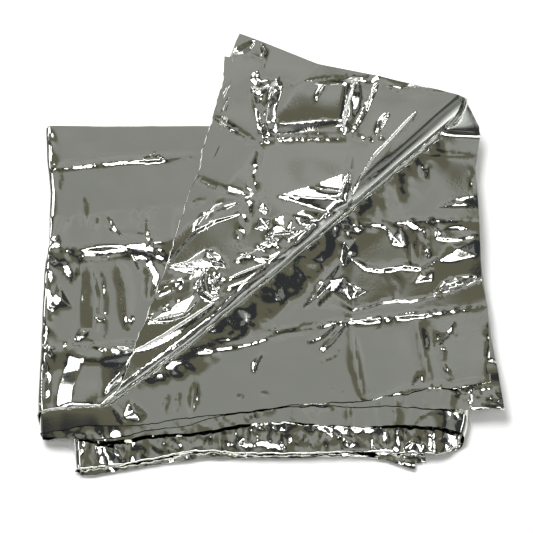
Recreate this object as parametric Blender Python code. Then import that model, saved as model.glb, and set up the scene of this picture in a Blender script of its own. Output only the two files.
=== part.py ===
"""Emergency foil blanket, folded four by four, with the top corner turned back.

The blanket is one sheet of metallised film. It is folded across its short
side into four plies (book fold, then book fold again), and that band is folded
back and forth along its long side into four layers. The top two plies are free
at the front right corner, and roll up and over a diagonal onto the pack.

Every point of the sheet has flat coordinates: s along the long side, from the
free end of the top layer, and v along the short side, from the free edge of
ply 0. The functions below carry a flat point to its place in the folded pack.
The frame has +X to the right, +Y to the back and +Z up, in metres.
"""

import math
from collections import namedtuple

import bpy
import numpy as np
from mathutils import Vector
from mathutils.geometry import delaunay_2d_cdt

# Film and stack
FILM = 0.0010          # modelled thickness of the film
PITCH = 0.0020         # height from one ply to the next
PLIES = 4              # plies in a layer
LAYERS = 4             # layers in the pack
LAYER_HEIGHT = PLIES * PITCH
STACK = LAYERS * LAYER_HEIGHT
OUTER_BEND = 1.5 * PITCH
INNER_BEND = 0.5 * PITCH
LAYER_BEND = 2.0 * PITCH

# Cut lengths of the panels between folds
LAYER_LENGTH = (0.545, 0.520, 0.482, 0.415)     # along s, top layer first
PLY_DEPTH = (0.405, 0.376, 0.376, 0.400)        # along v, ply 0 first

# Outline of the pack. A table's rows are (x, y) for edges that run across,
# and (y, x) for edges that run front to back.
BACK = (
    ((-0.28, 0.1742), (-0.19, 0.1732), (-0.09, 0.1745), (0.05, 0.1738), (0.26, 0.1738)),
    ((-0.28, 0.1715), (0.26, 0.1705)),
    ((-0.26, 0.1690), (0.25, 0.1680)),
    ((-0.26, 0.1665), (0.19, 0.1660)),
)
TOP_PAIR_FRONT = ((-0.2725, -0.1946), (-0.2445, -0.1880), (-0.2000, -0.1862), (-0.1893, -0.1834),
                  (-0.1589, -0.1745), (-0.0706, -0.1650), (0.0033, -0.1515), (0.0930, -0.1393),
                  (0.1604, -0.1330), (0.2290, -0.1230), (0.3030, -0.1350))
FRONT = (
    (   # top layer, plies 0 to 3
        ((-0.2725, -0.2225), (-0.2250, -0.2250), (-0.1800, -0.2240), (-0.1000, -0.2080),
         (-0.0400, -0.1900), (0.0413, -0.1870), (0.2200, -0.1885), (0.2846, -0.1930)),
        TOP_PAIR_FRONT,
        TOP_PAIR_FRONT,
        ((-0.2725, -0.2200), (-0.2275, -0.2125), (-0.1605, -0.2100), (-0.0910, -0.2013),
         (-0.0325, -0.1932), (0.0413, -0.1840), (0.1210, -0.1790), (0.1560, -0.1716),
         (0.1898, -0.1632), (0.2197, -0.1668), (0.2687, -0.1545)),
    ),
    (   # second layer
        ((-0.2725, -0.2240), (-0.1800, -0.2270), (-0.0900, -0.2200), (0.0040, -0.2040),
         (0.0413, -0.2055), (0.1210, -0.2100), (0.2197, -0.2110), (0.2500, -0.2180)),
        ((-0.2725, -0.2080), (-0.0910, -0.2000), (0.0413, -0.1900), (0.2500, -0.2050)),
        ((-0.2725, -0.2080), (-0.0910, -0.2000), (0.0413, -0.1900), (0.2500, -0.2050)),
        ((-0.2725, -0.2210), (-0.1800, -0.2230), (-0.0900, -0.2150), (0.0040, -0.1990),
         (0.0413, -0.2000), (0.1210, -0.2050), (0.2197, -0.2070), (0.2500, -0.2150)),
    ),
    (   # third layer
        ((-0.2350, -0.2560), (-0.1600, -0.2480), (-0.0900, -0.2380), (0.1200, -0.2385),
         (0.2290, -0.2430), (0.2500, -0.2330)),
        ((-0.2350, -0.2600), (-0.1600, -0.2500), (-0.0900, -0.2400), (0.1200, -0.2405),
         (0.2290, -0.2400), (0.2500, -0.2300)),
        ((-0.2350, -0.2600), (-0.1600, -0.2500), (-0.0900, -0.2400), (0.1200, -0.2405),
         (0.2290, -0.2400), (0.2500, -0.2300)),
        ((-0.2350, -0.2540), (-0.1600, -0.2450), (-0.0900, -0.2350), (0.1200, -0.2360),
         (0.2290, -0.2410), (0.2500, -0.2310)),
    ),
    (   # bottom layer
        ((-0.2290, -0.2650), (-0.1434, -0.2540), (-0.0915, -0.2442), (0.0000, -0.2446),
         (0.0540, -0.2416), (0.1300, -0.2455), (0.1772, -0.2575)),
        ((-0.2290, -0.2620), (-0.0915, -0.2420), (0.1300, -0.2430), (0.1900, -0.2490)),
        ((-0.2290, -0.2620), (-0.0915, -0.2420), (0.1300, -0.2430), (0.1900, -0.2490)),
        ((-0.2290, -0.2640), (-0.1434, -0.2515), (-0.0915, -0.2425), (0.0000, -0.2425),
         (0.1300, -0.2440), (0.1850, -0.2520)),
    ),
)
TOP_WEST = ((-0.2240, -0.2665), (-0.1787, -0.2680), (-0.0081, -0.2655), (0.0450, -0.2620),
            (0.0865, -0.2615), (0.1300, -0.2670), (0.1768, -0.2700))
BOTTOM_WEST = ((-0.2650, -0.2215), (0.1650, -0.2500))
WEST = (TOP_WEST, TOP_WEST, BOTTOM_WEST, BOTTOM_WEST)
MIDDLE_EAST = ((-0.2450, 0.2240), (-0.2000, 0.2360), (-0.0200, 0.2480), (0.1700, 0.2530))
EAST = (
    (   # top layer, plies 0 to 3: the free end of the sheet
        ((-0.1930, 0.2846), (-0.1500, 0.2790), (-0.1000, 0.2715), (0.0000, 0.2620),
         (0.1200, 0.2590), (0.1768, 0.2680)),
        ((-0.1350, 0.3030), (-0.0100, 0.2980), (0.0650, 0.2890), (0.1768, 0.2680)),
        ((-0.1350, 0.3030), (-0.1220, 0.3020), (-0.1120, 0.3520), (-0.0100, 0.3060),
         (0.0650, 0.2920), (0.1768, 0.2680)),
        ((-0.1787, 0.2692), (-0.0600, 0.2680), (-0.0300, 0.2620), (0.0637, 0.2605),
         (0.1200, 0.2590), (0.1768, 0.2680)),
    ),
    (MIDDLE_EAST,) * PLIES,
    (MIDDLE_EAST,) * PLIES,
    (   # bottom layer: the other free end
        ((-0.2600, 0.1772), (0.1650, 0.1800)),
        ((-0.2500, 0.1900), (0.1650, 0.1860)),
        ((-0.2500, 0.1900), (0.1650, 0.1860)),
        ((-0.2550, 0.1850), (0.1650, 0.1830)),
    ),
)

# The turned-back corner: the line where the top pair starts to roll
ROLL_TIP = (-0.1932, -0.1797)     # end of the line at the front edge
ROLL_END = (0.2420, 0.2082)       # end of the line past the back right corner
ROLL_RADIUS = (0.0060, 0.0170)    # bend radius at the tip and at the end
ROLL_OVERTURN = math.radians(9.0)  # how far the bend goes past a half turn
LANDING_RADIUS = 0.060            # bend where the flap comes down on the pack
LANDED_HEIGHT = 2.6 * PITCH       # middle of the flap's pair above the pack's pair
CORNER_BACK = 0.1735              # back fold at that corner
CORNER_REACH = 0.070              # the plies under the pair lift with it this far from the back
NEARBY = 1e-5                     # step for measuring slopes
# Sideways shift of the fold along its length: rows of (fraction, shift outwards)
ROLL_BOW = ((0.00, 0.000), (0.20, 0.007), (0.55, 0.006), (0.80, 0.001), (1.00, -0.002))

# Where an upper layer hangs over the edge of a lower one, it comes down
DROOP_START = 0.008
DROOP_WIDTH = 0.055
FLAP_DROOP_WIDTH = 0.240

# Middle of the finished pack's outline, which goes to the origin
MIDDLE = (0.0038, 0.0183)

# Creases and swells that stand up from the visible plies:
# points as (x, y), the height of the ridge and half its width
Ridge = namedtuple("Ridge", "points height width")
PACK_RIDGES = (
    Ridge(((-0.257, 0.121), (-0.183, 0.129), (-0.141, 0.131), (-0.098, 0.137)), 0.0022, 0.016),
    Ridge(((-0.260, 0.010), (-0.201, 0.016), (-0.149, 0.021)), 0.0045, 0.022),
    Ridge(((-0.255, -0.114), (-0.220, -0.110), (-0.180, -0.107)), 0.0028, 0.018),
)
UNDER_RIDGES = (
    Ridge(((0.125, 0.046), (0.190, 0.049), (0.252, 0.050)), 0.0050, 0.024),
    Ridge(((0.030, -0.070), (0.104, -0.071), (0.186, -0.064), (0.255, -0.058)), 0.0060, 0.024),
    Ridge(((0.142, -0.150), (0.191, -0.146), (0.250, -0.142)), 0.0030, 0.014),
    Ridge(((0.101, -0.090), (0.112, -0.150)), 0.0022, 0.014),
    Ridge(((0.183, -0.080), (0.193, -0.135)), 0.0030, 0.014),
)
FLAP_RIDGES = (
    Ridge(((-0.021, 0.250), (-0.012, 0.152), (-0.018, 0.052), (-0.032, 0.007)), 0.0050, 0.026),
    Ridge(((0.131, 0.205), (0.136, 0.170), (0.122, 0.140)), 0.0055, 0.024),
    Ridge(((-0.055, 0.168), (-0.018, 0.152), (0.060, 0.150), (0.122, 0.146)), 0.0035, 0.024),
    Ridge(((-0.112, -0.010), (-0.081, 0.030), (-0.018, 0.052)), 0.0050, 0.018),
    Ridge(((0.000, 0.086), (0.060, 0.070), (0.098, 0.066)), 0.0045, 0.020),
    Ridge(((-0.158, -0.121), (-0.110, -0.094), (-0.064, -0.060)), 0.0045, 0.014),
)
EDGE_FADE = 0.022      # ridges fade out this far from a ply's folds and edges

# Mesh columns, the same in every layer so that the plies lie evenly on each other:
# x across the pack, how many layers have it, counted from the top, and its set of depths
Column = namedtuple("Column", "x layers depths")
COLUMNS = (
    Column(-0.256, 4, 0), Column(-0.241, 4, 1), Column(-0.224, 4, 0), Column(-0.190, 1, 1),
    Column(-0.150, 4, 0), Column(-0.095, 1, 1), Column(-0.040, 4, 0), Column(0.015, 1, 1),
    Column(0.070, 4, 0), Column(0.120, 1, 1), Column(0.168, 4, 0), Column(0.190, 4, 1),
    Column(0.212, 4, 0), Column(0.236, 4, 1), Column(0.252, 1, 0),
)
# Sets of depths: fractions of the way from the back to the front
DEPTHS = ((0.04, 0.22, 0.40, 0.58, 0.76, 0.92), (0.13, 0.31, 0.49, 0.67, 0.85))
OUTER_STEPS = 5
INNER_STEPS = 3
LAYER_STEPS = 5
ROLL_ROWS = (0.0, 0.14, 0.28, 0.42, 0.56, 0.70, 0.84, 1.0)   # fractions of the bend
ROLL_SPACING = 0.030
CORNER_SPACING = 0.012
RIDGE_SPACING = 0.020
CLEAR_OF_ROWS = 0.009  # plain grid points keep this far from a named row

FILM_COLOUR = (0.78, 0.79, 0.75, 1.0)
FILM_ROUGHNESS = 0.06


def smooth(t):
    """Ease from 0 to 1 while t goes from 0 to 1."""
    t = np.clip(t, 0.0, 1.0)
    return t * t * (3.0 - 2.0 * t)


def spans(lengths, bends):
    """Starts and ends of the flat runs and bends laid end to end."""
    marks = [0.0]
    for i, length in enumerate(lengths):
        marks.append(marks[-1] + length)
        if i < len(bends):
            marks.append(marks[-1] + math.pi * bends[i])
    return marks


S_MARKS = spans(LAYER_LENGTH, (LAYER_BEND,) * (LAYERS - 1))
V_MARKS = spans(PLY_DEPTH, (OUTER_BEND, INNER_BEND, INNER_BEND))


def along_folds(value, marks, bends):
    """Run number, fraction along the run, and turn (0 to pi) in the bend after it."""
    value = np.asarray(value, dtype=float)
    run = np.zeros(value.shape, dtype=int)
    fraction = np.zeros(value.shape)
    turn = np.zeros(value.shape)
    for i in range(len(marks) // 2):
        start, end = marks[2 * i], marks[2 * i + 1]
        here = value >= start
        run[here] = i
        fraction[here] = np.clip((value[here] - start) / (end - start), 0.0, 1.0)
        turn[here] = np.clip((value[here] - end) / bends[i], 0.0, math.pi) if i < len(bends) else 0.0
    return run, fraction, turn


def across_ply(v):
    """Ply number (a fraction inside a bend), depth from back (0) to front (1),
    how far a bend bulges towards +Y, and height above the middle of the layer."""
    run, fraction, turn = along_folds(v, V_MARKS, (OUTER_BEND, INNER_BEND, INNER_BEND))
    ply = run + smooth(turn / math.pi)
    depth = np.where(run % 2 == 0, 1.0 - fraction, fraction)
    bulge = np.choose(run, (OUTER_BEND * np.sin(turn), -INNER_BEND * np.sin(turn),
                            INNER_BEND * np.sin(turn), np.zeros_like(turn)))
    height = np.choose(run, (-OUTER_BEND * np.cos(turn), PITCH + INNER_BEND * np.cos(turn),
                             INNER_BEND * np.cos(turn), np.full_like(turn, -INNER_BEND)))
    return ply, depth, bulge, height


def edge_value(tables, layer, ply, at):
    """Read the edge tables at a coordinate, blended between layers and plies."""
    values = np.array([[np.interp(at, *zip(*rows)) for rows in plies] for plies in tables])
    layer_low = np.minimum(layer.astype(int), LAYERS - 2)
    ply_low = np.minimum(ply.astype(int), PLIES - 2)
    layer_part = layer - layer_low
    ply_part = ply - ply_low
    n = np.arange(len(at))
    low = values[layer_low, ply_low, n] * (1 - ply_part) + values[layer_low, ply_low + 1, n] * ply_part
    high = (values[layer_low + 1, ply_low, n] * (1 - ply_part)
            + values[layer_low + 1, ply_low + 1, n] * ply_part)
    return low * (1 - layer_part) + high * layer_part


BACK_TABLES = tuple((rows,) * PLIES for rows in BACK)
WEST_TABLES = tuple((rows,) * PLIES for rows in WEST)
NOMINAL_SIDES = ((-0.268, 0.262), (-0.268, 0.248), (-0.240, 0.248), (-0.240, 0.182))


def pack_point(s, v):
    """Place flat points in the folded pack, before the corner is turned back.
    Returns x, y, height in the even stack, and the point's layer, ply, depth and height in it."""
    run, fraction, turn = along_folds(s, S_MARKS, (LAYER_BEND,) * (LAYERS - 1))
    layer = run + smooth(turn / math.pi)
    ply, depth, bulge, lift = across_ply(v)
    east_part = np.where(run % 2 == 0, 1.0 - fraction, fraction)
    sides = np.array(NOMINAL_SIDES)
    rough_x = sides[run, 0] + (sides[run, 1] - sides[run, 0]) * east_part
    back = edge_value(BACK_TABLES, layer, ply, rough_x)
    front = edge_value(FRONT, layer, ply, rough_x)
    y = back + (front - back) * depth + bulge
    west = edge_value(WEST_TABLES, layer, ply, y)
    east = edge_value(EAST, layer, ply, y)
    side = np.where(run % 2 == 0, 1.0, -1.0)
    radius = LAYER_BEND + side * lift
    x = west + (east - west) * east_part - side * radius * np.sin(turn)
    middle = STACK - LAYER_HEIGHT * (run + 1.0)
    return x, y, middle + radius * np.cos(turn), layer, ply, depth, lift


ROLL_LENGTH = math.dist(ROLL_TIP, ROLL_END)
ROLL_ALONG = ((ROLL_END[0] - ROLL_TIP[0]) / ROLL_LENGTH, (ROLL_END[1] - ROLL_TIP[1]) / ROLL_LENGTH)
ROLL_OUT = (ROLL_ALONG[1], -ROLL_ALONG[0])


def roll_coordinates(x, y):
    """Distance along the roll line from its tip, and outwards from it."""
    dx, dy = x - ROLL_TIP[0], y - ROLL_TIP[1]
    return dx * ROLL_ALONG[0] + dy * ROLL_ALONG[1], dx * ROLL_OUT[0] + dy * ROLL_OUT[1]


def roll_radius(along):
    """Bend radius at a distance along the roll line."""
    return ROLL_RADIUS[0] + (ROLL_RADIUS[1] - ROLL_RADIUS[0]) * np.clip(along / ROLL_LENGTH, 0.0, 1.0)


def descent(radius):
    """Length of the straight slope between the bend and the landing."""
    over = ROLL_OVERTURN
    drop = radius * (1 + math.cos(over)) - LANDING_RADIUS * (1 - math.cos(over)) - LANDED_HEIGHT
    return np.maximum(drop, 0.0) / math.sin(over)


def roll_profile(out, radius):
    """Section of the turned-back pair: outward distance, rise and angle, for cloth
    that lay a distance out from the roll line."""
    over = ROLL_OVERTURN
    bend = radius * (math.pi + over)
    slope = descent(radius)
    out = np.maximum(out, 0.0)
    angle = np.minimum(out / radius, math.pi + over)
    straight = np.clip(out - bend, 0.0, slope)
    landing = np.clip((out - bend - slope) / LANDING_RADIUS, 0.0, over)
    flat = np.maximum(out - bend - slope - LANDING_RADIUS * over, 0.0)
    reach = (radius * np.sin(angle) - straight * math.cos(over)
             - LANDING_RADIUS * (math.sin(over) - np.sin(over - landing)) - flat)
    rise = (radius * (1 - np.cos(angle)) - straight * math.sin(over)
            - LANDING_RADIUS * (np.cos(over - landing) - math.cos(over)))
    return reach, rise, angle - landing


def corner_share(y):
    """How much of the roll the plies under the pair take: all at the back fold, none further on."""
    return 1.0 - smooth((CORNER_BACK - y) / CORNER_REACH)


def rolled_surface(x, y, paired):
    """Middle of the top pair after what lies beyond the line is rolled up and over.
    Cloth that isn't paired only follows near the back fold. Returns x, y, height and angle."""
    along, out = roll_coordinates(x, y)
    radius = roll_radius(along)
    rolled = np.maximum(out, 0.0) * np.where(paired, 1.0, corner_share(y))
    reach, rise, angle = roll_profile(rolled, radius)
    bow = np.interp(along / ROLL_LENGTH, *zip(*ROLL_BOW)) * smooth(2.0 * angle / math.pi)
    moved = out - rolled + reach + bow
    return np.array((ROLL_TIP[0] + along * ROLL_ALONG[0] + moved * ROLL_OUT[0],
                     ROLL_TIP[1] + along * ROLL_ALONG[1] + moved * ROLL_OUT[1],
                     STACK - PITCH + rise)), angle


def turn_corner(x, y, lift, paired):
    """Place a ply of the top layer square off the rolled middle surface, by its own lift."""
    place, angle = rolled_surface(x, y, paired)
    towards_x = rolled_surface(x + NEARBY, y, paired)[0] - place
    towards_y = rolled_surface(x, y + NEARBY, paired)[0] - place
    normal = np.cross(towards_x, towards_y, axis=0)
    normal /= np.linalg.norm(normal, axis=0)
    new_x, new_y, height = place + (lift - PITCH) * normal
    return new_x, new_y, height, angle


def presence(layer, x, y, width):
    """1 where a layer lies under a point, easing to 0 past its edges."""
    east = np.max([np.interp(y, *zip(*rows)) for rows in EAST[layer]], axis=0)
    front = np.min([np.interp(x, *zip(*rows)) for rows in FRONT[layer]], axis=0)
    beyond_x = np.maximum(np.interp(y, *zip(*WEST[layer])) - x, x - east)
    beyond_y = np.maximum(y - np.interp(x, *zip(*BACK[layer])), front - y)
    beyond = np.hypot(np.maximum(beyond_x, 0.0), np.maximum(beyond_y, 0.0))
    return 1.0 - smooth((beyond - DROOP_START) / width)


def settle(x, y, height):
    """Lower each layer onto what really lies under it, down to the floor."""
    above = smooth((height - STACK) / PITCH)
    width = DROOP_WIDTH + (FLAP_DROOP_WIDTH - DROOP_WIDTH) * above
    settled = np.maximum(height - STACK, 0.0)
    for layer in range(LAYERS):
        floor = STACK - LAYER_HEIGHT * (layer + 1)
        thickness = np.clip(height - floor, 0.0, LAYER_HEIGHT)
        settled = settled + thickness * presence(layer, x, y, width)
    return settled - PITCH / 2 + FILM / 2


def ridge_height(ridges, x, y):
    """Height of the highest ridge over a point."""
    height = np.zeros_like(x)
    for ridge in ridges:
        for (x0, y0), (x1, y1) in zip(ridge.points, ridge.points[1:]):
            length = math.dist((x0, y0), (x1, y1))
            ux, uy = (x1 - x0) / length, (y1 - y0) / length
            t = np.clip((x - x0) * ux + (y - y0) * uy, 0.0, length)
            away = np.hypot(x - x0 - t * ux, y - y0 - t * uy)
            height = np.maximum(height, ridge.height * (1.0 - smooth(away / ridge.width)))
    return height


def fold(s, v):
    """Carry flat points of the sheet to their places. Returns x, y and z."""
    x, y, height, layer, ply, depth, lift = pack_point(s, v)
    top = layer == 0
    out = roll_coordinates(x, y)[1]
    rolled_x, rolled_y, rolled_height, angle = turn_corner(x, y, lift, (ply >= 1) & (ply <= 2))
    new_x = np.where(top, rolled_x, x)
    new_y = np.where(top, rolled_y, y)
    z = settle(new_x, new_y, np.where(top, rolled_height, height))
    on_pack = top & (ply == 1) & (out <= 0)
    under_flap = top & (ply == 3)
    on_flap = top & (ply == 2)
    from_edges = PLY_DEPTH[1] * np.minimum(depth, 1.0 - depth)
    from_ends = np.minimum(s, LAYER_LENGTH[0] - s)
    fade = smooth(np.minimum(from_edges, from_ends) / EDGE_FADE)
    z = z + np.where(on_pack, ridge_height(PACK_RIDGES, new_x, new_y) * fade * smooth(-out / EDGE_FADE), 0.0)
    z = z + np.where(under_flap, ridge_height(UNDER_RIDGES, new_x, new_y) * fade
                     * smooth(out / EDGE_FADE), 0.0)
    over = smooth(2.0 * angle / math.pi - 1.0)
    z = z + np.where(on_flap, ridge_height(FLAP_RIDGES, new_x, new_y) * fade * over, 0.0)
    return new_x - MIDDLE[0], new_y - MIDDLE[1], z


def flat_of(ply, x, y):
    """Flat coordinates of points of a ply of the top layer, before the corner is turned."""
    ply_number = np.full(len(x), float(ply))
    top = np.zeros(len(x))
    west = edge_value(WEST_TABLES, top, ply_number, y)
    east = edge_value(EAST, top, ply_number, y)
    east_part = (x - west) / (east - west)
    rough_x = NOMINAL_SIDES[0][0] + (NOMINAL_SIDES[0][1] - NOMINAL_SIDES[0][0]) * east_part
    back = edge_value(BACK_TABLES, top, ply_number, rough_x)
    front = edge_value(FRONT, top, ply_number, rough_x)
    depth = (y - back) / (front - back)
    s = (1.0 - east_part) * LAYER_LENGTH[0]
    start, end = V_MARKS[2 * ply], V_MARKS[2 * ply + 1]
    v = start + (end - start) * (depth if ply % 2 else 1.0 - depth)
    return s, v


def unrolled(x, y):
    """Where points of the turned-back flap lay before the corner was turned."""
    along, out = roll_coordinates(x, y)
    radius = roll_radius(along)
    bow = np.interp(along / ROLL_LENGTH, *zip(*ROLL_BOW))
    before = np.empty_like(out)
    for i in range(len(out)):
        samples = np.linspace(radius[i] * math.pi / 2, 0.5, 500)
        reach = roll_profile(samples, radius[i])[0]
        before[i] = np.interp(-(out[i] - bow[i]), -reach, samples)
    return (ROLL_TIP[0] + along * ROLL_ALONG[0] + before * ROLL_OUT[0],
            ROLL_TIP[1] + along * ROLL_ALONG[1] + before * ROLL_OUT[1])


def resampled(points, spacing):
    """Points along a broken line, about a spacing apart."""
    result = [points[0]]
    for start, end in zip(points, points[1:]):
        steps = max(1, round(math.dist(start, end) / spacing))
        for i in range(1, steps + 1):
            t = i / steps
            result.append((start[0] + (end[0] - start[0]) * t, start[1] + (end[1] - start[1]) * t))
    return np.array(result).T


class Pattern:
    """Points and lines on the flat sheet, from which its triangles are made."""

    def __init__(self):
        self.points = []
        self.edges = []

    def add_line(self, s, v):
        first = len(self.points)
        self.points += [(float(a), float(b)) for a, b in zip(s, v)]
        self.edges += [(i, i + 1) for i in range(first, len(self.points) - 1)]

    def add_points(self, s, v, clear):
        """Add free points that keep clear of the points already there."""
        taken = np.array(self.points)
        for a, b in zip(s, v):
            if np.min(np.hypot(taken[:, 0] - a, taken[:, 1] - b)) > clear:
                self.points.append((float(a), float(b)))

    def triangles(self):
        verts = [Vector(p) for p in self.points]
        found = delaunay_2d_cdt(verts, self.edges, [], 0, 1e-6, False)
        corners = np.array([tuple(p) for p in found[0]])
        return corners, [tuple(face) for face in found[2]]


def inside(s, v, ply):
    """Keep the points of a line that lie well inside one ply of the top layer."""
    margin = 0.006
    keep = ((s > margin) & (s < LAYER_LENGTH[0] - margin)
            & (v > V_MARKS[2 * ply] + margin) & (v < V_MARKS[2 * ply + 1] - margin))
    return s[keep], v[keep]


def layer_stations():
    """Stations along s: the free columns, as (s, set of depths), and the steps round the folds."""
    free, fold_columns = [], []
    for layer in range(LAYERS):
        start, end = S_MARKS[2 * layer], S_MARKS[2 * layer + 1]
        west, east = NOMINAL_SIDES[layer]
        for column in COLUMNS:
            part = (column.x - west) / (east - west)
            if layer < column.layers and 0.0 < part < 1.0:
                part = part if layer % 2 else 1.0 - part
                free.append((start + (end - start) * part, column.depths))
        if layer < LAYERS - 1:
            fold_columns += list(np.linspace(end, S_MARKS[2 * layer + 2], LAYER_STEPS + 1))
    return sorted(free), fold_columns


def ply_stations():
    """Stations along v: the free rows of each set of depths, and the steps round the folds."""
    free, fold_rows = [[] for _ in DEPTHS], []
    steps = (OUTER_STEPS, INNER_STEPS, INNER_STEPS)
    for ply in range(PLIES):
        start, end = V_MARKS[2 * ply], V_MARKS[2 * ply + 1]
        for rows, depths in zip(free, DEPTHS):
            rows += [start + (end - start) * (d if ply % 2 else 1.0 - d) for d in depths]
        if ply < PLIES - 1:
            fold_rows += list(np.linspace(end, V_MARKS[2 * ply + 2], steps[ply] + 1))
    return [sorted(rows) for rows in free], fold_rows


def row_distance(row, radius):
    """How far out on the flat pair a row lies: steps round the bend, then where it lands."""
    bend = radius * (math.pi + ROLL_OVERTURN)
    if row < len(ROLL_ROWS):
        return ROLL_ROWS[row] * bend
    landing = (row - len(ROLL_ROWS)) * LANDING_RADIUS * ROLL_OVERTURN
    return bend + descent(radius) + landing


def roll_rows(pattern):
    """Rows along the roll, on both plies of the pair, and where they meet the front fold."""
    samples = np.linspace(0.0, LAYER_LENGTH[0], 400)
    x, y = pack_point(samples, np.full(400, V_MARKS[3]))[:2]
    along, out = roll_coordinates(x, y)
    crossings = []
    for row in range(len(ROLL_ROWS) + 2):
        target = row_distance(row, roll_radius(along))
        crossings.append(float(np.interp(0.0, (out - target)[::-1], samples[::-1])))
        for ply, start in ((0, V_MARKS[1]), (1, V_MARKS[3]), (2, V_MARKS[4]), (3, V_MARKS[6])):
            pair = ply in (1, 2)
            steps = np.arange(0.0, ROLL_LENGTH, ROLL_SPACING if pair else CORNER_SPACING)
            row_out = row_distance(row, roll_radius(steps))
            row_x = ROLL_TIP[0] + steps * ROLL_ALONG[0] + row_out * ROLL_OUT[0]
            row_y = ROLL_TIP[1] + steps * ROLL_ALONG[1] + row_out * ROLL_OUT[1]
            s, v = inside(*flat_of(ply, row_x, row_y), ply)
            if pair:
                s, v = np.append(crossings[-1], s), np.append(start, v)
            else:
                near = np.abs(v - start) < CORNER_REACH
                s, v = s[near], v[near]
            pattern.add_line(s, v)
    return crossings


def blanket_pattern():
    """The flat pattern: fold rows and columns, roll rows, creases and a plain grid."""
    pattern = Pattern()
    crossings = roll_rows(pattern)
    for ridges, ply, carry in ((PACK_RIDGES, 1, None), (UNDER_RIDGES, 3, None), (FLAP_RIDGES, 2, unrolled)):
        for ridge in ridges:
            x, y = resampled(ridge.points, RIDGE_SPACING)
            if carry:
                x, y = carry(x, y)
            pattern.add_line(*inside(*flat_of(ply, x, y), ply))
    free_columns, fold_columns = layer_stations()
    free_rows, fold_rows = ply_stations()
    columns = sorted([S_MARKS[0], S_MARKS[-1]] + fold_columns + [s for s, _ in free_columns])
    for v in fold_rows:
        at = columns
        if V_MARKS[3] - 1e-9 <= v <= V_MARKS[4] + 1e-9:
            kept = [c for c in columns if min(abs(c - other) for other in crossings) > CLEAR_OF_ROWS / 2]
            at = sorted(kept + crossings)
        pattern.add_line(at, [v] * len(at))
    for s in crossings:
        pattern.add_line([s] * (INNER_STEPS + 1), np.linspace(V_MARKS[3], V_MARKS[4], INNER_STEPS + 1))
    rows = sorted([V_MARKS[0], V_MARKS[-1]] + fold_rows + free_rows[1])
    for s in [S_MARKS[0], S_MARKS[-1]] + fold_columns:
        pattern.add_line([s] * len(rows), rows)
    for v in (V_MARKS[0], V_MARKS[-1]):
        pattern.add_line(columns, [v] * len(columns))
    grid = [(s, v) for s, depths in free_columns for v in free_rows[depths]]
    pattern.add_points(*zip(*grid), CLEAR_OF_ROWS)
    return pattern


def film_material():
    """Bright metallised polyester film."""
    material = bpy.data.materials.new("foil_film")
    material.use_nodes = True
    shader = material.node_tree.nodes["Principled BSDF"]
    shader.inputs["Base Color"].default_value = FILM_COLOUR
    shader.inputs["Roughness"].default_value = FILM_ROUGHNESS
    shader.inputs["Metallic"].default_value = 1.0
    return material


def build_blanket():
    """The folded sheet, thickened to a closed solid, standing on its lowest ply."""
    corners, faces = blanket_pattern().triangles()
    x, y, z = fold(corners[:, 0], corners[:, 1])
    mesh = bpy.data.meshes.new("blanket")
    mesh.from_pydata(list(zip(x.tolist(), y.tolist(), z.tolist())), [], faces)
    mesh.materials.append(film_material())
    mesh.shade_smooth()
    blanket = bpy.data.objects.new("blanket", mesh)
    bpy.context.scene.collection.objects.link(blanket)
    film = blanket.modifiers.new("film", "SOLIDIFY")
    film.thickness = FILM
    film.offset = 0.0
    film.use_even_offset = False
    film.use_quality_normals = True
    return blanket


def main():
    for old in list(bpy.data.objects):
        bpy.data.objects.remove(old, do_unlink=True)
    build_blanket()


main()
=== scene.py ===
"""Looks for the emergency foil blanket: one thin sheet of metallised film, folded four by four,
with the top corner turned back over a diagonal.

The film follows the same folds as the solid. Each of its creases, pinches and dents has its own
row in the tables below, in millimetres, in the frame of the folded pack.
"""

import math
from collections import namedtuple

import bpy
import numpy as np
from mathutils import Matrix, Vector
from mathutils.geometry import delaunay_2d_cdt


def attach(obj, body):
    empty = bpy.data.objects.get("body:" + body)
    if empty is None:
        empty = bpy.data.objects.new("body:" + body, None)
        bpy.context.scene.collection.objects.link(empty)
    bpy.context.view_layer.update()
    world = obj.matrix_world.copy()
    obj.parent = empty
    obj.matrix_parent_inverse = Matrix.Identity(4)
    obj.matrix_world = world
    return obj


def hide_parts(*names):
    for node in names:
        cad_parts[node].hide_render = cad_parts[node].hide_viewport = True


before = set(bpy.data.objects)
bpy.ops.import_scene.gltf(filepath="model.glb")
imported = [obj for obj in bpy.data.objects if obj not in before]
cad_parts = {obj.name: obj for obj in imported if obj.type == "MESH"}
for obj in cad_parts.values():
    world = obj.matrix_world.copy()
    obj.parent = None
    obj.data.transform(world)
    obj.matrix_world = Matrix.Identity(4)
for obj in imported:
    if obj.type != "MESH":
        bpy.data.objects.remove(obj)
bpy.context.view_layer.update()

# Film and stack
FILM = 0.0010          # thickness of the solid that this sheet stands for
PITCH = 0.0020         # height from one ply to the next
PLIES = 4              # plies in a layer
LAYERS = 4             # layers in the pack
LAYER_HEIGHT = PLIES * PITCH
STACK = LAYERS * LAYER_HEIGHT
OUTER_BEND = 1.5 * PITCH
INNER_BEND = 0.5 * PITCH
LAYER_BEND = 2.0 * PITCH

# Cut lengths of the panels between folds
LAYER_LENGTH = (0.545, 0.520, 0.482, 0.415)     # along s, top layer first
PLY_DEPTH = (0.405, 0.376, 0.376, 0.400)        # along v, ply 0 first

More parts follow.
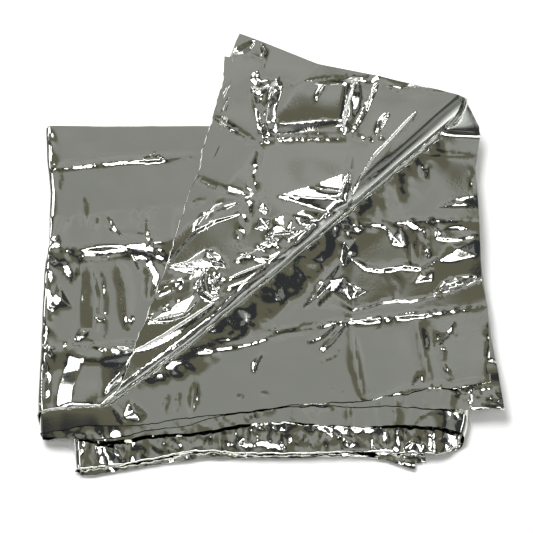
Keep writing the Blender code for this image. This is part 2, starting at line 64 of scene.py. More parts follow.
# Outline of the pack. A table's rows are (x, y) for edges that run across,
# and (y, x) for edges that run front to back.
BACK = (
    ((-0.28, 0.1742), (-0.19, 0.1732), (-0.09, 0.1745), (0.05, 0.1738), (0.26, 0.1738)),
    ((-0.28, 0.1715), (0.26, 0.1705)),
    ((-0.26, 0.1690), (0.25, 0.1680)),
    ((-0.26, 0.1665), (0.19, 0.1660)),
)
TOP_PAIR_FRONT = ((-0.2725, -0.1946), (-0.2445, -0.1880), (-0.2000, -0.1862), (-0.1893, -0.1834),
                  (-0.1589, -0.1745), (-0.0706, -0.1650), (0.0033, -0.1515), (0.0930, -0.1393),
                  (0.1604, -0.1330), (0.2290, -0.1230), (0.3030, -0.1350))
SECOND_PAIR_FRONT = ((-0.2725, -0.2080), (-0.0910, -0.2000), (0.0413, -0.1900), (0.2500, -0.2050))
THIRD_PAIR_FRONT = ((-0.2350, -0.2600), (-0.1600, -0.2500), (-0.0900, -0.2400), (0.1200, -0.2405),
                    (0.2290, -0.2400), (0.2500, -0.2300))
BOTTOM_PAIR_FRONT = ((-0.2290, -0.2620), (-0.0915, -0.2420), (0.1300, -0.2430), (0.1900, -0.2490))
FRONT = (
    (   # top layer, plies 0 to 3
        ((-0.2725, -0.2225), (-0.2250, -0.2250), (-0.1800, -0.2240), (-0.1000, -0.2080),
         (-0.0400, -0.1900), (0.0413, -0.1870), (0.2200, -0.1885), (0.2846, -0.1930)),
        TOP_PAIR_FRONT,
        TOP_PAIR_FRONT,
        ((-0.2725, -0.2200), (-0.2275, -0.2125), (-0.1605, -0.2100), (-0.0910, -0.2013),
         (-0.0325, -0.1932), (0.0413, -0.1840), (0.1210, -0.1790), (0.1560, -0.1716),
         (0.1898, -0.1632), (0.2197, -0.1668), (0.2687, -0.1545)),
    ),
    (   # second layer
        ((-0.2725, -0.2240), (-0.1800, -0.2270), (-0.0900, -0.2200), (0.0040, -0.2040),
         (0.0413, -0.2055), (0.1210, -0.2100), (0.2197, -0.2110), (0.2500, -0.2180)),
        SECOND_PAIR_FRONT,
        SECOND_PAIR_FRONT,
        ((-0.2725, -0.2210), (-0.1800, -0.2230), (-0.0900, -0.2150), (0.0040, -0.1990),
         (0.0413, -0.2000), (0.1210, -0.2050), (0.2197, -0.2070), (0.2500, -0.2150)),
    ),
    (   # third layer
        ((-0.2350, -0.2560), (-0.1600, -0.2480), (-0.0900, -0.2380), (0.1200, -0.2385),
         (0.2290, -0.2430), (0.2500, -0.2330)),
        THIRD_PAIR_FRONT,
        THIRD_PAIR_FRONT,
        ((-0.2350, -0.2540), (-0.1600, -0.2450), (-0.0900, -0.2350), (0.1200, -0.2360),
         (0.2290, -0.2410), (0.2500, -0.2310)),
    ),
    (   # bottom layer
        ((-0.2290, -0.2650), (-0.1434, -0.2540), (-0.0915, -0.2442), (0.0000, -0.2446),
         (0.0540, -0.2416), (0.1300, -0.2455), (0.1772, -0.2575)),
        BOTTOM_PAIR_FRONT,
        BOTTOM_PAIR_FRONT,
        ((-0.2290, -0.2640), (-0.1434, -0.2515), (-0.0915, -0.2425), (0.0000, -0.2425),
         (0.1300, -0.2440), (0.1850, -0.2520)),
    ),
)
TOP_WEST = ((-0.2240, -0.2665), (-0.1787, -0.2680), (-0.0081, -0.2655), (0.0450, -0.2620),
            (0.0865, -0.2615), (0.1300, -0.2670), (0.1768, -0.2700))
BOTTOM_WEST = ((-0.2650, -0.2215), (0.1650, -0.2500))
WEST = (TOP_WEST, TOP_WEST, BOTTOM_WEST, BOTTOM_WEST)
MIDDLE_EAST = ((-0.2450, 0.2240), (-0.2000, 0.2360), (-0.0200, 0.2480), (0.1700, 0.2530))
EAST = (
    (   # top layer, plies 0 to 3: the free end of the sheet
        ((-0.1930, 0.2846), (-0.1500, 0.2790), (-0.1000, 0.2715), (0.0000, 0.2620),
         (0.1200, 0.2590), (0.1768, 0.2680)),
        ((-0.1350, 0.3030), (-0.0100, 0.2980), (0.0650, 0.2890), (0.1768, 0.2680)),
        ((-0.1350, 0.3030), (-0.1220, 0.3020), (-0.1120, 0.3390), (-0.0100, 0.3060),
         (0.0650, 0.2920), (0.1768, 0.2680)),
        ((-0.1787, 0.2692), (-0.0600, 0.2680), (-0.0300, 0.2620), (0.0637, 0.2605),
         (0.1200, 0.2590), (0.1768, 0.2680)),
    ),
    (MIDDLE_EAST,) * PLIES,
    (MIDDLE_EAST,) * PLIES,
    (   # bottom layer: the other free end
        ((-0.2600, 0.1772), (0.1650, 0.1800)),
        ((-0.2500, 0.1900), (0.1650, 0.1860)),
        ((-0.2500, 0.1900), (0.1650, 0.1860)),
        ((-0.2550, 0.1850), (0.1650, 0.1830)),
    ),
)

# The turned-back corner: the line where the top pair starts to roll
ROLL_TIP = (-0.1932, -0.1797)     # end of the line at the front edge
ROLL_END = (0.2420, 0.2082)       # end of the line past the back right corner
ROLL_RADIUS = (0.0060, 0.0170)    # bend radius at the tip and at the end
ROLL_OVERTURN = math.radians(9.0)  # how far the bend goes past a half turn
LANDING_RADIUS = 0.060            # bend where the flap comes down on the pack
LANDED_HEIGHT = 2.6 * PITCH       # middle of the flap's pair above the pack's pair
CORNER_BACK = 0.1735              # back fold at that corner
CORNER_REACH = 0.012              # the plies under the pair lift with it this far from the back
NEARBY = 1e-5                     # step for measuring slopes
# Sideways shift of the fold along its length: rows of (fraction, shift outwards)
ROLL_BOW = ((0.00, 0.000), (0.20, 0.007), (0.55, 0.006), (0.80, 0.001), (1.00, -0.002))

# Where an upper layer hangs over the edge of a lower one, it comes down
DROOP_START = 0.008
DROOP_WIDTH = 0.055
BRIDGE_WIDTH = 0.400        # the same where the top layer spans a step down
FLAP_DROOP_WIDTH = 0.340

# The front edges wander and are crinkled, over the front of each ply
WAVE = 0.0022               # how far they wander,
WAVE_SIZE = 0.034           # and over what length
CRINKLE = 0.0012            # how crinkled they are,
CRINKLE_SIZE = 0.007        # and how large a crinkle is
WAVE_START = 0.82           # share of the ply's depth where this starts,
WAVE_GROWS = 0.18           # and over which it grows

# Middle of the finished pack's outline, which goes to the origin
MIDDLE = (0.0038, 0.0183)

MILLIMETRE = 0.001
FLAT_MAP = "flat"       # the UV map that holds the flat sheet's coordinates


def smooth(t):
    """Ease from 0 to 1 while t goes from 0 to 1."""
    t = np.clip(t, 0.0, 1.0)
    return t * t * (3.0 - 2.0 * t)


# ---------------------------------------------------------------- soft randomness

# Multipliers that scatter the bits of a lattice point's numbers, and what is kept of them
SCATTER = (374761393, 668265263, 974634777, 1274126177)
WORD = 0xFFFFFFFF
HALF_WORD = 0xFFFF

FACET_TURN = 0.6        # each seed turns the facets by its own angle, from this one
FACET_BENT = 0.6        # how far their grid is bent, in facets


def lattice(i, j, seed):
    """A fixed random number from -1 to 1 for each lattice point."""
    mixed = (i.astype(np.int64) * SCATTER[0] + j.astype(np.int64) * SCATTER[1] + seed * SCATTER[2]) & WORD
    mixed = ((mixed ^ (mixed >> 13)) * SCATTER[3]) & WORD
    mixed = (mixed ^ (mixed >> 16)) & HALF_WORD
    return mixed / (HALF_WORD / 2) - 1.0


def drift(x, y, size, seed):
    """Smooth wandering value from -1 to 1."""
    u, v = x / size, y / size
    i, j = np.floor(u), np.floor(v)
    fu, fv = smooth(u - i), smooth(v - j)
    low = lattice(i, j, seed) * (1 - fu) + lattice(i + 1, j, seed) * fu
    high = lattice(i, j + 1, seed) * (1 - fu) + lattice(i + 1, j + 1, seed) * fu
    return low * (1 - fv) + high * fv


def facets(x, y, size, seed):
    """Flat, sharp-edged facets, as in film that has been crushed. From -1 to 1."""
    turn = FACET_TURN + seed
    u = (x * math.cos(turn) + y * math.sin(turn)) / size
    v = (y * math.cos(turn) - x * math.sin(turn)) / size
    u = u + FACET_BENT * drift(x, y, 2.3 * size, seed + 1)
    v = v + FACET_BENT * drift(x, y, 2.1 * size, seed + 2)
    i, j = np.floor(u), np.floor(v)
    fu, fv = u - i, v - j
    a, b = lattice(i, j, seed), lattice(i + 1, j, seed)
    c, d = lattice(i, j + 1, seed), lattice(i + 1, j + 1, seed)
    lower = a + (b - a) * fu + (c - a) * fv
    upper = d + (c - d) * (1 - fu) + (b - d) * (1 - fv)
    return np.where(fu + fv < 1.0, lower, upper)


# ---------------------------------------------------------------- how the sheet is folded

def spans(lengths, bends):
    """Starts and ends of the flat runs and bends laid end to end."""
    marks = [0.0]
    for i, length in enumerate(lengths):
        marks.append(marks[-1] + length)
        if i < len(bends):
            marks.append(marks[-1] + math.pi * bends[i])
    return marks


S_MARKS = spans(LAYER_LENGTH, (LAYER_BEND,) * (LAYERS - 1))
V_MARKS = spans(PLY_DEPTH, (OUTER_BEND, INNER_BEND, INNER_BEND))


def along_folds(value, marks, bends):
    """Run number, fraction along the run, and turn (0 to pi) in the bend after it."""
    value = np.asarray(value, dtype=float)
    run = np.zeros(value.shape, dtype=int)
    fraction = np.zeros(value.shape)
    turn = np.zeros(value.shape)
    for i in range(len(marks) // 2):
        start, end = marks[2 * i], marks[2 * i + 1]
        here = value >= start
        run[here] = i
        fraction[here] = np.clip((value[here] - start) / (end - start), 0.0, 1.0)
        turn[here] = np.clip((value[here] - end) / bends[i], 0.0, math.pi) if i < len(bends) else 0.0
    return run, fraction, turn


def across_ply(v):
    """Ply number (a fraction inside a bend), depth from back (0) to front (1),
    how far a bend bulges towards +Y, and height above the middle of the layer."""
    run, fraction, turn = along_folds(v, V_MARKS, (OUTER_BEND, INNER_BEND, INNER_BEND))
    ply = run + smooth(turn / math.pi)
    depth = np.where(run % 2 == 0, 1.0 - fraction, fraction)
    bulge = np.choose(run, (OUTER_BEND * np.sin(turn), -INNER_BEND * np.sin(turn),
                            INNER_BEND * np.sin(turn), np.zeros_like(turn)))
    height = np.choose(run, (-OUTER_BEND * np.cos(turn), PITCH + INNER_BEND * np.cos(turn),
                             INNER_BEND * np.cos(turn), np.full_like(turn, -INNER_BEND)))
    return ply, depth, bulge, height


def edge_value(tables, layer, ply, at):
    """Read the edge tables at a coordinate, blended between layers and plies."""
    values = np.array([[np.interp(at, *zip(*rows)) for rows in plies] for plies in tables])
    layer_low = np.minimum(layer.astype(int), LAYERS - 2)
    ply_low = np.minimum(ply.astype(int), PLIES - 2)
    layer_part = layer - layer_low
    ply_part = ply - ply_low
    n = np.arange(len(at))
    low = values[layer_low, ply_low, n] * (1 - ply_part) + values[layer_low, ply_low + 1, n] * ply_part
    high = (values[layer_low + 1, ply_low, n] * (1 - ply_part)
            + values[layer_low + 1, ply_low + 1, n] * ply_part)
    return low * (1 - layer_part) + high * layer_part


BACK_TABLES = tuple((rows,) * PLIES for rows in BACK)
WEST_TABLES = tuple((rows,) * PLIES for rows in WEST)
NOMINAL_SIDES = ((-0.268, 0.262), (-0.268, 0.248), (-0.240, 0.248), (-0.240, 0.182))


def pack_point(s, v):
    """Place flat points in the folded pack, before the corner is turned back.
    Returns x, y, height in the even stack, and the point's layer, ply, depth and height in it."""
    run, fraction, turn = along_folds(s, S_MARKS, (LAYER_BEND,) * (LAYERS - 1))
    layer = run + smooth(turn / math.pi)
    ply, depth, bulge, lift = across_ply(v)
    east_part = np.where(run % 2 == 0, 1.0 - fraction, fraction)
    sides = np.array(NOMINAL_SIDES)
    rough_x = sides[run, 0] + (sides[run, 1] - sides[run, 0]) * east_part
    back = edge_value(BACK_TABLES, layer, ply, rough_x)
    front = edge_value(FRONT, layer, ply, rough_x)
    y = back + (front - back) * depth + bulge
    west = edge_value(WEST_TABLES, layer, ply, y)
    east = edge_value(EAST, layer, ply, y)
    side = np.where(run % 2 == 0, 1.0, -1.0)
    radius = LAYER_BEND + side * lift
    x = west + (east - west) * east_part - side * radius * np.sin(turn)
    middle = STACK - LAYER_HEIGHT * (run + 1.0)
    return x, y, middle + radius * np.cos(turn), layer, ply, depth, lift


ROLL_LENGTH = math.dist(ROLL_TIP, ROLL_END)
ROLL_ALONG = ((ROLL_END[0] - ROLL_TIP[0]) / ROLL_LENGTH, (ROLL_END[1] - ROLL_TIP[1]) / ROLL_LENGTH)
ROLL_OUT = (ROLL_ALONG[1], -ROLL_ALONG[0])


def roll_coordinates(x, y):
    """Distance along the roll line from its tip, and outwards from it."""
    dx, dy = x - ROLL_TIP[0], y - ROLL_TIP[1]
    return dx * ROLL_ALONG[0] + dy * ROLL_ALONG[1], dx * ROLL_OUT[0] + dy * ROLL_OUT[1]


def roll_radius(along):
    """Bend radius at a distance along the roll line."""
    return ROLL_RADIUS[0] + (ROLL_RADIUS[1] - ROLL_RADIUS[0]) * np.clip(along / ROLL_LENGTH, 0.0, 1.0)


def descent(radius):
    """Length of the straight slope between the bend and the landing."""
    over = ROLL_OVERTURN
    drop = radius * (1 + math.cos(over)) - LANDING_RADIUS * (1 - math.cos(over)) - LANDED_HEIGHT
    return np.maximum(drop, 0.0) / math.sin(over)


def roll_profile(out, radius):
    """Section of the turned-back pair: outward distance, rise and angle, for cloth
    that lay a distance out from the roll line."""
    over = ROLL_OVERTURN
    bend = radius * (math.pi + over)
    slope = descent(radius)
    out = np.maximum(out, 0.0)
    angle = np.minimum(out / radius, math.pi + over)
    straight = np.clip(out - bend, 0.0, slope)
    landing = np.clip((out - bend - slope) / LANDING_RADIUS, 0.0, over)
    flat = np.maximum(out - bend - slope - LANDING_RADIUS * over, 0.0)
    reach = (radius * np.sin(angle) - straight * math.cos(over)
             - LANDING_RADIUS * (math.sin(over) - np.sin(over - landing)) - flat)
    rise = (radius * (1 - np.cos(angle)) - straight * math.sin(over)
            - LANDING_RADIUS * (np.cos(over - landing) - math.cos(over)))
    return reach, rise, angle - landing


def corner_share(y):
    """How much of the roll the plies under the pair take: all at the back fold, none further on."""
    return 1.0 - smooth((CORNER_BACK - y) / CORNER_REACH)


def rolled_surface(x, y, paired):
    """Middle of the top pair after what lies beyond the line is rolled up and over.
    Cloth that isn't paired only follows near the back fold. Returns x, y, height and angle."""
    along, out = roll_coordinates(x, y)
    radius = roll_radius(along)
    rolled = np.maximum(out, 0.0) * np.where(paired, 1.0, corner_share(y))
    reach, rise, angle = roll_profile(rolled, radius)
    bow = np.interp(along / ROLL_LENGTH, *zip(*ROLL_BOW)) * smooth(2.0 * angle / math.pi)
    moved = out - rolled + reach + bow
    return np.array((ROLL_TIP[0] + along * ROLL_ALONG[0] + moved * ROLL_OUT[0],
                     ROLL_TIP[1] + along * ROLL_ALONG[1] + moved * ROLL_OUT[1],
                     STACK - PITCH + rise)), angle


def turn_corner(x, y, lift, paired):
    """Place a ply of the top layer square off the rolled middle surface, by its own lift."""
    place, angle = rolled_surface(x, y, paired)
    towards_x = rolled_surface(x + NEARBY, y, paired)[0] - place
    towards_y = rolled_surface(x, y + NEARBY, paired)[0] - place
    normal = np.cross(towards_x, towards_y, axis=0)
    normal /= np.linalg.norm(normal, axis=0)
    new_x, new_y, height = place + (lift - PITCH) * normal
    return new_x, new_y, height, angle


def presence(layer, x, y, width):
    """1 where a layer lies under a point, easing to 0 past its edges."""
    east = np.max([np.interp(y, *zip(*rows)) for rows in EAST[layer]], axis=0)
    front = np.min([np.interp(x, *zip(*rows)) for rows in FRONT[layer]], axis=0)
    beyond_x = np.maximum(np.interp(y, *zip(*WEST[layer])) - x, x - east)
    beyond_y = np.maximum(y - np.interp(x, *zip(*BACK[layer])), front - y)
    beyond = np.hypot(np.maximum(beyond_x, 0.0), np.maximum(beyond_y, 0.0))
    return 1.0 - smooth((beyond - DROOP_START) / width)


def settle(x, y, height):
    """Lower each layer onto what really lies under it, down to the floor."""
    above = smooth((height - STACK) / PITCH)
    width = np.where(height > STACK - LAYER_HEIGHT, BRIDGE_WIDTH, DROOP_WIDTH)
    width = width + (FLAP_DROOP_WIDTH - width) * above
    settled = np.maximum(height - STACK, 0.0)
    for layer in range(LAYERS):
        floor = STACK - LAYER_HEIGHT * (layer + 1)
        thickness = np.clip(height - floor, 0.0, LAYER_HEIGHT)
        settled = settled + thickness * presence(layer, x, y, width)
    return settled - PITCH / 2 + FILM / 2


# Where points of the folded film lie: their place, layer and ply, how far out from the roll line
# they started, and the angle that they have rolled
Film = namedtuple("Film", "x y z layer ply out angle")

TOP_LAYER = 0.02        # a layer number under this is the top layer, short of its fold
EDGE_POINTS = 300       # points along the flap's edge


def front_shift(x, height, layer, ply, depth):
    """How far the film near a front edge lies back of its table. Plies that part there differ."""
    group = np.where(ply < 0.5, 0.0, np.where(ply <= 2.5, 1.0, 2.0))
    wave = WAVE * drift(x, 0.4 * np.round(layer) + 0.13 * group, WAVE_SIZE, 41)
    crinkle = CRINKLE * facets(x, height + 0.02 * depth, CRINKLE_SIZE, 43)
    return smooth((depth - WAVE_START) / WAVE_GROWS) * (wave + crinkle)


def fold(s, v):
    """Carry flat points of the sheet to their places in the folded pack."""
    x, y, height, layer, ply, depth, lift = pack_point(s, v)
    y = y + front_shift(x, height, layer, ply, depth)
    out = roll_coordinates(x, y)[1]
    rolled_x, rolled_y, rolled_height, angle = turn_corner(x, y, lift, (ply >= 1) & (ply <= 2))
    top = layer == 0
    x, y = np.where(top, rolled_x, x), np.where(top, rolled_y, y)
    z = settle(x, y, np.where(top, rolled_height, height))
    return Film(x, y, z, layer, ply, out, np.where(top, angle, 0.0))


def flap_edge():
    """The flap's left edge: y and x along its fold, from front to back."""
    s = np.linspace(0.0, LAYER_LENGTH[0], EDGE_POINTS)
    film = fold(s, np.full(EDGE_POINTS, V_MARKS[3]))
    over = film.angle > math.pi / 2
    order = np.argsort(film.y[over])
    return film.y[over][order], film.x[over][order]


FLAP_EDGE = flap_edge()


def past_flap(film):
    """How far each point lies to the right of the flap's left edge."""
    return film.x - np.interp(film.y, *FLAP_EDGE)


def pair_front(film):
    """y of the top pair's front edge at each point."""
    return np.interp(film.x, *zip(*TOP_PAIR_FRONT))


# ---------------------------------------------------------------- features of the film, in millimetres

# A sharp line that stands up by its height, and falls away over its widths to the left and to
# the right, looking from the first point to the last. A negative height makes a valley.
Crease = namedtuple("Crease", "points height left right")

# A band of small facets along a line: half its width, how steep they are, how large each is.
Crush = namedtuple("Crush", "points spread slope size")

# A leaf-shaped dent with two flat sides of one slope, or a swell where its slope is negative:
# its middle, its direction in degrees from +X, and its half length and half width.
Leaf = namedtuple("Leaf", "x y angle length width slope")

# What the film does between two lines: its height at each share of the way from the first line to
# the second, easing in and out over the ends. The lines run from left to right, the first behind
# the second, or, in an upright band, from front to back, the first left of the second.
Band = namedtuple("Band", "upright first second profile ease")

# Straight facets from a raised point down to a ring of points around it.
Peak = namedtuple("Peak", "x y height ring")

# How much each form varies, as a share, and over what length
CREASE_HEIGHT = (0.18, 30.0)
CREASE_WIDTH = (0.15, 19.0)
CRUSH_WIDTH = (0.60, 16.0)
BAND_PLACE = (0.02, 30.0)

CREASE_TAPER = 0.45     # under 1, a crease keeps its height close to its ends
CREASE_TIP = 0.05       # share of its width that is left there
CRUSH_HEIGHT = 0.34     # height of a facet of slope 1, in its own sizes
FINE_CRUSH = (0.45, 0.8)  # a crush's finer facets: their size and slope, as shares


def wander(amount, x, y, seed):
    """A value that varies round 0 by a share, over a length."""
    share, length = amount
    return share * drift(x, y, length, seed)


def beside(points, x, y):
    """Distance from a broken line, signed (+ to its left), and how far along it, from 0 to 1."""
    lengths = [math.dist(a, b) for a, b in zip(points, points[1:])]
    whole = sum(lengths)
    nearest = np.full_like(x, np.inf)
    side = np.ones_like(x)
    along = np.zeros_like(x)
    gone = 0.0
    for (x0, y0), (x1, y1), length in zip(points, points[1:], lengths):
        ux, uy = (x1 - x0) / length, (y1 - y0) / length
        t = np.clip((x - x0) * ux + (y - y0) * uy, 0.0, length)
        away = np.hypot(x - x0 - t * ux, y - y0 - t * uy)
        closer = away < nearest
        nearest = np.where(closer, away, nearest)
        side = np.where(closer, np.sign(ux * (y - y0) - uy * (x - x0)), side)
        along = np.where(closer, (gone + t) / whole, along)
        gone += length
    return nearest * side, along


def crease_height(crease, x, y, seed):
    away, along = beside(crease.points, x, y)
    taper = np.clip(4.0 * along * (1.0 - along), 0.0, 1.0) ** CREASE_TAPER
    width = np.where(away > 0, crease.left, crease.right) * np.maximum(taper, CREASE_TIP)
    width = width * (1.0 + wander(CREASE_WIDTH, x, y, seed))
    fall = np.clip(1.0 - np.abs(away) / width, 0.0, 1.0)
    return crease.height * taper * (1.0 + wander(CREASE_HEIGHT, x, y, seed + 5)) * fall


def crush_height(crush, x, y, seed):
    away = beside(crush.points, x, y)[0]
    spread = crush.spread * (1.0 + wander(CRUSH_WIDTH, x, y, seed + 3))
    mask = 1.0 - smooth(np.abs(away) / spread)
    fine_size = crush.size * FINE_CRUSH[0]
    coarse = facets(x, y, crush.size, seed) * crush.size
    fine = facets(x, y, fine_size, seed + 9) * fine_size
    return crush.slope * mask * (coarse + FINE_CRUSH[1] * fine) * CRUSH_HEIGHT


def leaf_height(leaf, x, y, seed):
    turn = math.radians(leaf.angle)
    dx, dy = x - leaf.x, y - leaf.y
    u = (dx * math.cos(turn) + dy * math.sin(turn)) / leaf.length
    v = dy * math.cos(turn) - dx * math.sin(turn)
    half = leaf.width * np.clip(1.0 - u * u, 0.0, 1.0)
    return -leaf.slope * np.maximum(half - np.abs(v), 0.0)


def band_height(band, x, y, seed):
    first, second = band.first, band.second
    if band.upright:
        x, y = y, x
        first, second = (tuple((b, a) for a, b in line) for line in (first, second))
    start, end = np.interp(x, *zip(*first)), np.interp(x, *zip(*second))
    share = (start - y) / (start - end) + wander(BAND_PLACE, x, y, seed)
    ends = smooth((x - first[0][0]) / band.ease[0]) * smooth((first[-1][0] - x) / band.ease[1])
    return np.interp(share, *zip(*band.profile)) * ends


def peak_height(peak, x, y, seed):
    height = np.zeros_like(x)
    px, py = x - peak.x, y - peak.y
    for (ax, ay), (bx, by) in zip(peak.ring, peak.ring[1:] + peak.ring[:1]):
        ax, ay, bx, by = ax - peak.x, ay - peak.y, bx - peak.x, by - peak.y
        area = ax * by - ay * bx
        to_a = (px * by - py * bx) / area
        to_b = (ax * py - ay * px) / area
        inner = (to_a >= 0) & (to_b >= 0) & (to_a + to_b <= 1)
        height = np.where(inner, peak.height * (1 - to_a - to_b), height)
    return height


HEIGHTS = {Crease: crease_height, Crush: crush_height, Leaf: leaf_height, Band: band_height,
           Peak: peak_height}


def relief(features, x, y):
    """Height of a panel's features over its points, in metres. Each feature has its own seed."""
    x, y = x / MILLIMETRE, y / MILLIMETRE
    height = np.zeros_like(x)
    for number, feature in enumerate(features):
        height = height + HEIGHTS[type(feature)](feature, x, y, number * 13)
    return height * MILLIMETRE


# ---------------------------------------------------------------- where they lie, in millimetres

TOP_PANEL = (
    # the film rises to the middle crease and drops in front of it
    Band(False, ((-269, 8), (-256, 9), (-201, 14), (-148, 19), (-94, 23)),
         ((-265, -117), (-220, -112), (-177, -109), (-140, -111), (-92, -113)),
         ((-0.35, 0), (-0.01, 2.6), (0.01, 2.2), (0.16, -0.6), (0.45, -0.4), (0.97, 0.2), (1.00, 1.6),
          (1.03, 1.4), (1.22, -0.8), (1.45, 0)),
         (4, 20)),
    # back crease, with its pinch
    Crease(((-265, 117), (-183, 127), (-141, 129), (-68, 138)), 1.9, 10, 5),
    Crease(((-128, 130), (-101, 133), (-74, 138)), -1.2, 10, 4),
    Crush(((-148, 129), (-141, 138), (-132, 129)), 8, 0.45, 7),
    Crush(((-255, 120), (-206, 124), (-144, 129), (-107, 132)), 4, 0.16, 7),
    # middle crease: the film steps down in front of it
    Crease(((-264, 8), (-201, 13), (-148, 19), (-113, 22)), 0.6, 2, 3),
    Crush(((-252, 5), (-191, 8), (-130, 10)), 12, 0.22, 14),
    Crush(((-147, 23), (-132, 8), (-122, -13)), 11, 0.42, 8),
    Crush(((-142, 69), (-143, 43), (-144, 21)), 5, 0.22, 6),
    Peak(-235, -18, 1.6, ((-252, 8), (-223, 10), (-224, -18), (-235, -34), (-248, -16))),
    Peak(-158, -5, -1.6, ((-170, 14), (-142, 15), (-140, -5), (-155, -18))),
    # leaf-shaped dents behind the middle crease
    Leaf(-257, 101, 87, 16, 4, 0.15),
    Leaf(-249, 42, 62, 18, 5.2, 0.15),
    Leaf(-225, 61, 92, 24, 5, 0.15),
    Leaf(-211, 45, 75, 10, 4.5, 0.15),
    Leaf(-192, 43, 118, 14, 5.5, 0.15),
    Leaf(-183, 31, -45, 14, 4.5, 0.15),
    Leaf(-162, 30, -6, 18, 4.8, 0.15),
    Leaf(-150, 44, 82, 14, 4.5, 0.15),
    Leaf(-159, 57, 82, 12, 3.6, 0.15),
    Leaf(-144, 60, 0, 4, 3, -0.15),
    # panel between the middle and front creases: upright bands
    Crease(((-230, 5), (-226, -35), (-228, -77), (-232, -113)), -0.5, 8, 4),
    Crease(((-215, -5), (-209, -42), (-208, -83), (-212, -111)), 0.8, 6, 16),
    Crease(((-203, -16), (-198, -54), (-198, -105)), -0.8, 5, 7),
    Crease(((-181, -5), (-170, -42), (-167, -93)), 1.2, 14, 12),
    Crease(((-154, 2), (-139, -22), (-144, -54)), -1.6, 10, 10),
    Crease(((-225, 2), (-203, 2), (-169, 8)), -1.6, 12, 4),
    Peak(-248, -54, 2, ((-260, -47), (-253, -31), (-234, -65), (-256, -66))),
    Leaf(-200, -77, 0, 7, 6.5, -0.25),
    Leaf(-164, -79, -5, 5, 5.5, -0.25),
    Leaf(-222, -99, 35, 12, 6.5, -0.25),
    # front crease and what lies in front of it
    Crush(((-258, -117), (-239, -113), (-212, -113)), 7, 0.3, 8),
    Band(True, ((-253, -194), (-248, -162), (-237, -118)), ((-234, -194), (-227, -158), (-210, -116)),
         ((-0.50, 0), (0.00, -0.4), (1.00, 2.8), (1.08, 2.6), (2.60, 0.6), (3.20, 0)), (10, 10)),
    Peak(-159, -122, 5.5, ((-200, -114), (-197, -186), (-161, -148), (-150, -113))),
    Crease(((-201, -184), (-185, -163), (-164, -141)), 1.8, 3, 5),
    Crush(((-205, -117), (-186, -118), (-159, -117)), 5, 0.4, 8),
    # shoulder along the left fold
    Crease(((-274, 175), (-271, 142), (-269, 108)), -1, 13, 13),
    Crease(((-267, 113), (-266, 60), (-269, 8)), -0.6, 8, 8),
    Crease(((-270, 10), (-270, -54), (-270, -113)), -0.9, 8, 8),
    Crease(((-265, -112), (-266, -156), (-269, -193)), -0.9, 9, 9),
    Peak(-257, 19, 2.6, ((-268, 9), (-265, 26), (-253, 31), (-251, 14))),
    Crush(((-269, 163), (-264, 132), (-265, 113)), 5, 0.2, 8),
    Crush(((-264, 0), (-262, -54), (-264, -112), (-263, -181)), 10, 0.24, 11),
)
